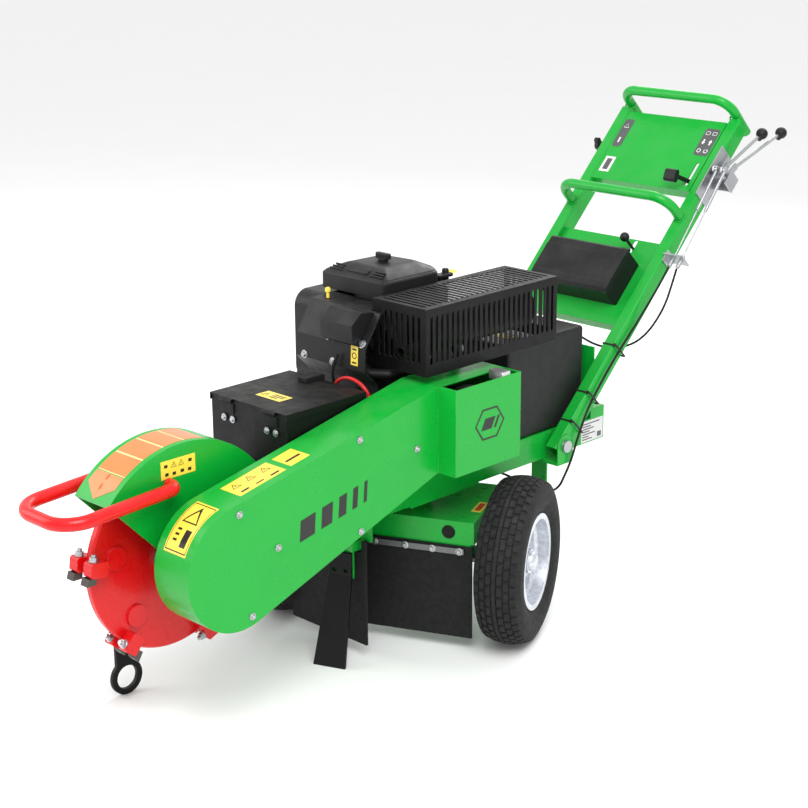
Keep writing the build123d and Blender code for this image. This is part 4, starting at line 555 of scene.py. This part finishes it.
def triangle(u, v, size):
    """A caution-style triangle outline, with a bar inside in place of any sign."""
    corners = [(u - size / 2, v - size * 0.4), (u + size / 2, v - size * 0.4), (u, v + size * 0.46)]
    bar = box(u - size * 0.03, v - size * 0.18, u + size * 0.03, v + size * 0.1)
    return outline_strips(corners, size * 0.07) + [bar]


def hood_band():
    """Orange panels on a pale ground over the top of the cutting wheel's guard."""
    surface = rolled((-738.0, 415.0), 263.0, 20.0)
    half, first, pitch, line = 46.0, 75.0, 12.4, 1.0
    film("hood_band", "chassis", surface, [box(-half, first, half, first + 4 * pitch)], "decal_pale", cuts=24)
    panels = [box(-half, first + line / 2 + pitch * i, half, first + pitch * (i + 1) - line / 2) for i in range(4)]
    front = first + 4 * pitch + line / 2
    tip = (0, front + pitch * 1.15)
    panels += [[(side * half, front), (0, front), tip, (side * half, front + pitch * 0.55)] for side in (-1, 1)]
    film("hood_panels", "chassis", surface, panels, "decal_orange", layer=2, cuts=10)


def cover_stickers():
    """Plain yellow film with generic triangles and bars along the belt cover's rim, bars on its flank."""
    nose = rolled((-727.0, 429.0), 143.0, 187.0)
    film("cover_nose_film", "chassis", nose, [box(-36, 104, 36, 157)], "decal_yellow", cuts=16)
    film("cover_nose_marks", "chassis", nose,
         outline_strips([(-33, 106), (33, 106), (33, 155), (-33, 155)], 1.0)
         + outline_strips([(-24, 128), (24, 128), (0, 109)], 3.0)
         + [box(-20, 134, -8, 136), box(-20, 139, -8, 141), box(-20, 144, -8, 146), box(6, 134, 24, 150)],
         "decal_black", layer=2, cuts=6)
    touch = machine(187, -756.1, 569.0)
    slope = (machine(187, -116, 702) - touch).normalized()
    top = flat(facing(touch, slope, X.cross(slope)))
    film("cover_top_film", "chassis", top, [box(56, -34, 190, 34), box(206, -32, 264, 32)], "decal_yellow")
    marks = triangle(80, 12, 24) + triangle(122, 12, 24) + triangle(165, 12, 24)
    marks += [box(70, -24, 92, -18), box(112, -24, 134, -20), box(154, -26, 178, -20), box(214, -10, 256, -3)]
    film("cover_top_marks", "chassis", top, marks, "decal_black", layer=2, cuts=1)
    flank = flat(facing(machine(245, -435, 490), slope, X))
    bars = [[(u, -24), (u + width, -24), (u + width + 14, 24), (u + 14, 24)]
            for u, width in ((-130, 46), (-64, 34), (-10, 24), (34, 16), (70, 10))]
    film("cover_flank_bars", "chassis", flank, bars, "decal_black", cuts=1)


def box_badge():
    """Generic hexagon badge on the boxed rear of the belt cover."""
    surface = flat(facing(machine(301, 2, 598), Y, X))
    rim = outline_strips([(u, v * 0.85) for u, v in regular(6, 52)], 3.4)
    bars = [[(u, -14), (u + width, -14), (u + width + 14, 14), (u + 14, 14)] for u, width in ((-30, 36), (14, 8))]
    film("box_badge", "chassis", surface, rim + bars, "decal_black", cuts=1)


def small_stickers():
    """The remaining plain labels."""
    side_film = flat(facing(machine(80, -755, 627), Y, X))
    film("hood_side_film", "chassis", side_film, [box(-47, -21, 47, 21)], "decal_yellow", cuts=1)
    marks = triangle(-12, 9, 15) + triangle(8, 9, 15)
    marks += [box(u, v, u + 9, v + 7) for u, v in ((-38, 5), (28, 5), (-36, -14), (-16, -15), (6, -14), (26, -15))]
    film("hood_side_marks", "chassis", side_film, marks, "decal_black", layer=2, cuts=1)

    lid = flat(facing(machine(-4, -404, 690), X, Z))
    film("battery_lid_film", "battery_lid", lid, [box(-42, -21, 42, 21)], "decal_yellow", cuts=1)
    film("battery_lid_marks", "battery_lid", lid,
         triangle(-26, 0, 22) + [box(-6, 7, 34, 11), box(-6, -2, 34, 2), box(-6, -11, 20, -7)],
         "decal_black", layer=2, cuts=1)

    front = flat(facing(machine(54, -200.9, 757), X, Vector((0, -1, 0.04))))
    film("shroud_film", "chassis", front, [box(-12, -24, 12, 24)], "decal_yellow", cuts=1)
    film("shroud_marks", "chassis", front, outline_strips(regular(12, 8), 1.5)
         + [box(-7, -19, 7, -15), box(-7, 13, 7, 17)], "decal_black", layer=2, cuts=1)
    sloping = flat(facing(machine(-80, -171, 815) + SHROUD_OUT * SHROUD_LIFT, X, SHROUD_OUT))
    film("shroud_top_film", "chassis", sloping, [box(-34, -24, 22, 24)], "decal_pale", cuts=1)

    plate = flat(facing(machine(160, 567, 417), Y, X))
    film("rating_plate", "chassis", plate, [box(-45, -29, 45, 29)], "plate_metal", cuts=1)
    lines = [box(-40, 22 - 7 * row, -40 + length, 19 - 7 * row)
             for row, length in enumerate((70, 34, 46, 30, 52, 26, 40))]
    film("rating_plate_lines", "chassis", plate, lines + [box(22, -24, 38, -10)], "decal_grey", layer=2, cuts=1)

    axle_top = flat(facing(on_axle(214, -2, 336), AXLE_AHEAD, Z))
    film("axle_film", "axle", axle_top, [box(-36, -13, 36, 13)], "decal_yellow", cuts=1)
    film("axle_marks", "axle", axle_top, [box(-26, -7, 26, 7)], "red", layer=2, cuts=1)

    tank = flat(facing(machine(80, 300, 712), X, Z))
    film("tank_film", "chassis", tank, [box(-26, -14, 26, 14)], "decal_yellow", cuts=1)
    film("tank_marks", "chassis", tank, triangle(-10, 0, 18) + [box(4, -4, 20, 0), box(4, 4, 20, 8)],
         "decal_black", layer=2, cuts=1)


def arrow(u, v, length, direction):
    """A solid arrow that points along +v or -v, as two patches."""
    tip, neck, tail = v + direction * length / 2, v, v - direction * length / 2
    return [[(u - 2.4, tail), (u + 2.4, tail), (u + 2.4, neck), (u - 2.4, neck)],
            [(u - 6, neck), (u + 6, neck), (u, tip), (u, tip)]]


def console_decals():
    """Dark rounded control legends with plain white arrows and shapes."""
    specs = (("left", -147, 961.5, 32, 97), ("right", 139, 965, 48, 92))
    for name, x, v, width, length in specs:
        place = facing(on_arm(x, v, 25), X, OUT_OF_ARM)
        bm = bmesh.new()
        add_prism(bm, rounded_box(width, length, 9), 0.5, place, soft=0.1)
        finish_piece(f"console_legend_{name}", bm, "chassis", "decal_grey")
    left = flat(facing(on_arm(-147, 961.5, 25.5), X, OUT_OF_ARM))
    film("console_marks_left", "chassis", left, outline_strips([(-9, 18), (9, 18), (0, 34)], 2.2)
         + [box(-2.5, -34, 2.5, -16)], "decal_white", cuts=1)
    right = flat(facing(on_arm(139, 965, 25.5), X, OUT_OF_ARM))
    marks = outline_strips(rounded_box(14, 12, 3, 2), 1.2)
    shapes = [[(u - 11, v + 30) for u, v in quad] for quad in marks]
    shapes += [[(u + 11, v + 30) for u, v in quad] for quad in marks]
    shapes += arrow(-11, 0, 18, -1) + arrow(11, 0, 18, 1)
    ring = outline_strips(regular(10, 7), 1.6)
    shapes += [[(u - 11, v - 30) for u, v in quad] for quad in ring]
    shapes += [[(u + 11, v - 30) for u, v in quad] for quad in ring]
    film("console_marks_right", "chassis", right, shapes, "decal_white", cuts=1)
    label = flat(facing(on_arm(-140, 851, 25), X, OUT_OF_ARM))
    film("console_label", "chassis", label, [box(-17, -26, 17, 26)], "decal_white", cuts=1)
    film("console_label_window", "chassis", label, [box(-9, -19, 9, 19)], "decal_grey", layer=2, cuts=1)


# ---------------------------------------------------------------- tyres

TYRE_R = 210.0
CROWN_HALF = 50.0
CROWN_ARC = 119.1
BEAD_R = 112.0
WALL_X = 46.0  # where the tyre's wall starts, at WALL_FOOT_R, before it bulges
WALL_FOOT_R = 121.0
WALL_RISE = 78.0
WALL_STEPS = 14
WALL_RIDGES = (4, 10)  # steps of the wall that carry a moulded ring
BEAD_X = 44.0
TYRE_MIDDLE = 313.0
PITCHES = 46
GROOVE = 5.5
BLOCK_EDGE = 0.9
GROOVE_EDGE = 0.8
CENTRE_ROW = 3
BLOCKS = ((-50.0, -39.5), (-35.5, -24.0), (-20.0, -8.0), (-4.5, 4.5), (8.0, 20.0), (24.0, 35.5), (39.5, 50.0))
FRACTIONS = (0.0, 0.06, 0.30, 0.36, 0.5, 0.56, 0.80, 0.86)  # cuts along one pitch of the tread


def crown(x):
    """Radius of the tread's surface at a distance from the tyre's middle."""
    return TYRE_R - CROWN_ARC + sqrt(CROWN_ARC**2 - x**2)


def tyre_rows():
    """Section from bead to bead as (x, radius, row of blocks or None where it is smooth), in mm."""
    wall = []
    for step in range(WALL_STEPS):
        t = step / WALL_STEPS
        ridge = 0.9 if step in WALL_RIDGES else 0.0
        wall.append((-(WALL_X + 4 * t + 48 * t * (1 - t)) - ridge, WALL_FOOT_R + WALL_RISE * t, None))
    tread = []
    for index, (low, high) in enumerate(BLOCKS):
        tread += [(x, crown(x), index) for x in (low, low + BLOCK_EDGE, high - BLOCK_EDGE, high)]
        if index + 1 < len(BLOCKS):
            foot = crown(high) - GROOVE
            tread += [(high + GROOVE_EDGE, foot, None), (BLOCKS[index + 1][0] - GROOVE_EDGE, foot, None)]
    far_wall = [(-x, radius, None) for x, radius, _ in reversed(wall)]
    return [(-BEAD_X, BEAD_R, None)] + wall + tread + far_wall + [(BEAD_X, BEAD_R, None)]


def cut_depth(block, fraction):
    """Depth of the cross cuts in a row of blocks, staggered from row to row, in mm."""
    if block is None:
        return 0.0
    if block == CENTRE_ROW:
        return 1.6 if fraction in (0.30, 0.36) else 0.0
    first, last = (0.06, 0.30) if block % 2 else (0.56, 0.80)
    return GROOVE * 0.85 if first <= fraction <= last else 0.0


def make_tyre(name):
    """Tyre with seven rows of staggered tread blocks and moulded rings on its walls, its valve and hub cap."""
    body = f"wheel_{name}"
    outward = 1 if name == "left" else -1
    axle_height = WHEEL_JOINTS[body]["pos_m"][2]
    middle = Vector((0, PIVOT_Y, axle_height)) + SPIN * (outward * TYRE_MIDDLE * MM)
    bm = bmesh.new()
    rings = []
    for x, radius, block in tyre_rows():
        ring = []
        for pitch in range(PITCHES):
            for fraction in FRACTIONS:
                angle = 2 * pi * (pitch + fraction) / PITCHES
                reach = (radius - cut_depth(block, fraction)) * MM
                away = (AXLE_AHEAD * cos(angle) + Z * sin(angle)) * reach
                ring.append(bm.verts.new(middle + SPIN * (x * MM) + away))
        rings.append(ring)
    count = PITCHES * len(FRACTIONS)
    for below, above in zip(rings, rings[1:] + rings[:1]):
        for i in range(count):
            j = (i + 1) % count
            bm.faces.new((below[i], below[j], above[j], above[i]))
    tyre = finish_piece(f"tread_tyre_{name}", bm, body, "tyre", sharp=38)
    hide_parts(f"tyre_{name}")

    bm = bmesh.new()
    valve = facing(middle + SPIN * (outward * 6 * MM) + Z * (84 * MM), Z, SPIN * outward)
    add_lathe(bm, [(0, 0), (6, 0), (5.2, 6), (4.2, 8), (4.0, 24), (3.2, 26), (3.2, 32), (0, 32)], valve, 16)
    finish_piece(f"valve_{name}", bm, body, "rubber")

    bm = bmesh.new()
    cap = facing(middle + SPIN * (outward * 33 * MM), Z, SPIN * outward)
    add_lathe(bm, [(0, 0), (25, 0), (25, 4), (22, 10), (14, 15), (0, 17)], cap, 40)
    finish_piece(f"hub_cap_{name}", bm, body, "galvanised")


# ---------------------------------------------------------------- engine, frame and handle details

ROOF_FOOT = 0.0455  # height of the air cleaner roof's foot over the cover's underside, in metres
ROOF_FOOT_SCALE, ROOF_TOP_SCALE = 0.93, 0.62  # the cover's outline there and at the top of the slope
ROOF_DROP = 0.003


def air_cleaner():
    """Air cleaner cover with a stepped lip and a sloping roof, and the blank pad and ribs on its front slope."""
    low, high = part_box("air_cleaner_cover")
    knob = sum((Vector(corner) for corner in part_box("air_cleaner_knob")), Vector()) / 2
    centre = Vector((knob.x / MM, (knob.y - PIVOT_Y) / MM))
    outline = round_corners([(-176, -92), (44, -88), (44, 96), (4, 126), (-164, 108)], 13, 5)
    tiers = ((1.0, low.z), (1.0, low.z + 0.037), (0.975, low.z + 0.041), (0.955, low.z + 0.042),
             (0.945, low.z + 0.044), (ROOF_FOOT_SCALE, low.z + ROOF_FOOT),
             (ROOF_TOP_SCALE, high.z - ROOF_DROP), (0.55, high.z - 0.0006), (0.5, high.z))
    bm = bmesh.new()
    add_tiers(bm, [p - centre for p in outline], machine(centre.x, centre.y, 0), tiers)
    shell = finish_piece("air_cleaner_shell", bm, "chassis", "plastic", sharp=28)
    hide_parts("air_cleaner_cover")

    reach = knob.y - low.y
    rise = (high.z - ROOF_DROP - (low.z + ROOF_FOOT)) / ((ROOF_FOOT_SCALE - ROOF_TOP_SCALE) * reach)
    roof = Vector((0, -rise, 1)).normalized()

    def on_roof(x, ahead):
        """Placement on the roof's front slope, a distance in metres behind the cover's front edge."""
        height = low.z + ROOF_FOOT + (ahead - (1 - ROOF_FOOT_SCALE) * reach) * rise
        return facing(Vector((x, low.y + ahead, height)), X, roof)

    bm = bmesh.new()
    middle = (low.x + high.x) / 2
    for sign in (-1, 1):
        for row in range(3):
            rib = rounded_box(44 - 5 * row, 3.4, 1.6, 3)
            add_prism(bm, rib, 2.2, on_roof(middle + sign * 0.070, 0.014 + 0.008 * row), soft=0.6, low=-2)
    add_prism(bm, rounded_box(72, 20, 6, 4), 2.0, on_roof(middle, 0.024), soft=0.8, low=-2)
    finish_piece("air_cleaner_ribs", bm, "chassis", "plastic")


def engine_details():
    """Shroud bolts, dipstick, and the linkage behind the air cleaner with its tag."""
    flange = [facing(machine(x, -192.5, 786) + SHROUD_OUT * SHROUD_LIFT, X, SHROUD_OUT) for x in (-40, 74)]
    low = [facing(machine(x, -201.4, 728), X, -Y) for x in (-120, -20)]
    bolts("shroud_bolts", "chassis", flange + low, across=11, height=6)

    bm = bmesh.new()
    stem = facing(machine(-112, -128, 856), X, Z)
    add_lathe(bm, [(0, 0), (4, 0), (4, 14), (7, 16), (7, 22), (5, 26), (0, 27)], stem, 20)
    finish_piece("dipstick", bm, "chassis", "decal_yellow")

    bm = bmesh.new()
    for station, height in ((150, 26), (172, 40)):
        post = facing(machine(-4, station, 856), X, Z)
        add_lathe(bm, [(0, 0), (9, 0), (9, height - 4), (7, height), (0, height)], post, 24)
    add_prism(bm, rounded_box(26, 52, 6, 3), 8, facing(machine(-4, 164, 876), X, Z), soft=1.5)
    finish_piece("choke_linkage", bm, "chassis", "engine")
    tag = flat(facing(machine(-4, 196, 884), X, Vector((0.1, -0.2, 1))))
    film("linkage_tag", "chassis", tag, [box(-12, -10, 12, 10)], "decal_yellow", cuts=1)


def red_lead():
    """Red sheath over the battery lead, from the battery box towards the engine."""
    points = [(-8, -235.8, 644), (-8, -216, 652), (0, -214, 684), (38, -216, 706), (80, -216, 703),
              (106, -212, 684), (111, -208, 662), (123, -206, 652)]
    curve_piece("battery_lead", [machine(*point) for point in points], 4.4, "chassis", "red_cable")


def curve_piece(name, points, radius, body, material):
    """Round tube along a smooth line with the given control points."""
    data = bpy.data.curves.new(name, "CURVE")
    data.dimensions = "3D"
    data.bevel_depth = radius * MM
    data.bevel_resolution = 5
    data.use_fill_caps = True
    data.resolution_u = 10
    spline = data.splines.new("NURBS")
    spline.points.add(len(points) - 1)
    for knot, point in zip(spline.points, points):
        knot.co = (*point, 1.0)
    spline.order_u = 3
    spline.use_endpoint_u = True
    data.materials.append(MATERIALS[material])
    piece = bpy.data.objects.new(name, data)
    bpy.context.scene.collection.objects.link(piece)
    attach(piece, body)
    return piece


# stations are counted from the swing pivot; the same points as the cable's route in CAD
SWING_ROUTE = (
    (253, 789.6, 831.4), (253, 770, 790), (250, 752, 745), (243, 726, 704), (230, 700, 668), (206, 676, 640),
    (172, 648, 627), (136, 618, 632), (108, 590, 652), (84, 566, 678), (58, 543, 676), (38, 537, 654),
    (30, 536, 620), (28, 538, 590), (28, 543, 563), (28, 557, 551),
)
SWING_RADIUS = 3.0


def swing_cable():
    """Cable that hangs free from the lever's bracket to its sleeve on the rear plate."""
    points = [machine(*point) for point in SWING_ROUTE]
    cable = curve_piece("swing_cable_sheath", points, SWING_RADIUS, "chassis", "rubber")
    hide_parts("swing_cable")


KNOB_R = 16.1  # just over the lever's own ball
TIE_LOW_X, TIE_HIGH_X, TIE_HALF = 166.8, 213.5, 26.4  # loop around the near arm and the cable beside it
TIE_WIDTH, TIE_THICK = 5, 1.2


def cable_ties():
    """Ties that hold the brake cable to the near arm, each with its head."""
    bm = bmesh.new()
    for v in (60, 150, 300):
        for n in (-TIE_HALF, TIE_HALF - TIE_THICK):
            place = facing(on_arm((TIE_LOW_X + TIE_HIGH_X) / 2, v, n), X, OUT_OF_ARM)
            add_prism(bm, rounded_box(TIE_HIGH_X - TIE_LOW_X, TIE_WIDTH, 0.8, 2), TIE_THICK, place, soft=0.3)
        for x in (TIE_LOW_X, TIE_HIGH_X - TIE_THICK):
            place = facing(on_arm(x, v, 0), OUT_OF_ARM, X)
            add_prism(bm, rounded_box(2 * TIE_HALF, TIE_WIDTH, 0.8, 2), TIE_THICK, place, soft=0.3)
        head = facing(on_arm(206, v, TIE_HALF - TIE_THICK), X, OUT_OF_ARM)
        add_prism(bm, rounded_box(8, 9, 1.5, 2), 5, head, soft=0.8)
    finish_piece("cable_ties", bm, "chassis", "plastic")


def lever_knobs():
    """Black skins over the balls and collars of the two side levers."""
    for name, x, v, n in (("brake_lever", 240, 1060, -40), ("swing_lever", 270, 1094, -74)):
        bm = bmesh.new()
        place = facing(on_arm(x, v, n), X, ALONG_ARM)
        ball = [(KNOB_R * sin(pi * step / 18), -KNOB_R * cos(pi * step / 18)) for step in range(1, 18)]
        add_lathe(bm, [(0, -KNOB_R)] + ball + [(0, KNOB_R)], place, 40)
        collar = ((0, -5), (6.5, -5), (7.5, -1), (9, 3), (0, 3))
        add_lathe(bm, [(radius, height - KNOB_R) for radius, height in collar], place, 24)
        for corner in bm.verts:
            corner.co.y = min(corner.co.y, REAR_LIMIT)
        finish_piece(f"{name}_knob", bm, name, "plastic", sharp=50)


def frame_details():
    """Bolts of the arms, skirt, battery box and front plate, the skirt's strip and the housing's plug."""
    bolts("arm_pivot_bolts", "chassis",
          [facing(on_arm(side * 203, 0, 0), ALONG_ARM, X * side) for side in (1, -1)], across=24, height=7)
    bolts("skirt_bolts", "axle", [facing(on_axle(x, -124.3, 262), SPIN, -AXLE_AHEAD) for x in (-20, 60, 130, 200)],
          across=10, height=4)
    bm = bmesh.new()
    add_prism(bm, rounded_box(248, 15, 1.5, 2), 1.2, facing(on_axle(88, -124.1, 262), SPIN, -AXLE_AHEAD), soft=0.4)
    finish_piece("skirt_clamp_strip", bm, "axle", "cast")
    bm = bmesh.new()
    plug = facing(on_axle(170, -115, 307), SPIN, -AXLE_AHEAD)
    add_lathe(bm, [(0, 0), (17, 0), (17, 1.5), (14, 3), (12, 1.2), (0, 1.0)], plug, 32)
    finish_piece("housing_plug", bm, "axle", "rubber")
    bolts("battery_box_bolts", "chassis",
          [facing(machine(x, -483.4, 640), X, -Y) for x in (-90, -60, 60, 90)], across=9, height=4)
    bolts("front_plate_bolts", "chassis",
          [facing(machine(x, -207, 425), X, -Y) for x in (-110, 70)], across=12, height=5)


def duct_flange():
    """Bright flange of the duct on top of the boxed rear."""
    bm = bmesh.new()
    duct = facing(machine(276, 63, 702), X, Z)
    add_prism(bm, rounded_box(46, 30, 4, 3), 9, duct, soft=1.5, low=-12)
    finish_piece("duct_flange", bm, "chassis", "plate_metal")


BEADS = 26


def beads():
    """Rough weld beads where the two hand bars meet the arms."""
    bm = bmesh.new()
    profile = ((0, -1), (0.8, -0.5), (1, 0), (0.8, 0.6), (0, 1))
    for x in (-1, 1):
        for spot in (on_arm(x * 180, 1061, 22), on_arm(x * 185.5, 715, 26)):
            place = facing(spot, X, OUT_OF_ARM)
            for step in range(BEADS):
                angle = 2 * pi * step / BEADS
                swell = 2.6 + 0.7 * sin(step * 2.4)
                centre = place @ Vector((15.0 * MM * cos(angle), 15.0 * MM * sin(angle), 0))
                add_lathe(bm, [(swell * radius, swell * height) for radius, height in profile],
                          facing(centre, X, OUT_OF_ARM), 10)
    finish_piece("weld_beads", bm, "chassis", "green", sharp=60)


def dress_nodes():
    """Gives each CAD node the material of its slot."""
    for entry in frame["record"]["subparts"]:
        node = NODES[entry["node"]]
        material = MATERIALS[SLOT_MATERIAL[entry["material_slot"]]]
        node.data.materials.clear()
        node.data.materials.append(material)


make_world()
make_camera()
make_floor()
make_light("key", (2.6, -2.2, 4.2), (0.0, 0.0, 0.4), 2.6, 190.0)
make_light("fill", (-3.4, -3.0, 2.6), (0.0, 0.0, 0.5), 3.0, 70.0)
make_light("back", (-1.0, 3.6, 3.2), (0.0, 0.2, 0.6), 2.6, 90.0)
dress_nodes()
swing_cable()
make_tyre("left")
make_tyre("right")
hood_band()
cover_stickers()
box_badge()
small_stickers()
console_decals()
air_cleaner()
engine_details()
red_lead()
frame_details()
cable_ties()
lever_knobs()
duct_flange()
beads()
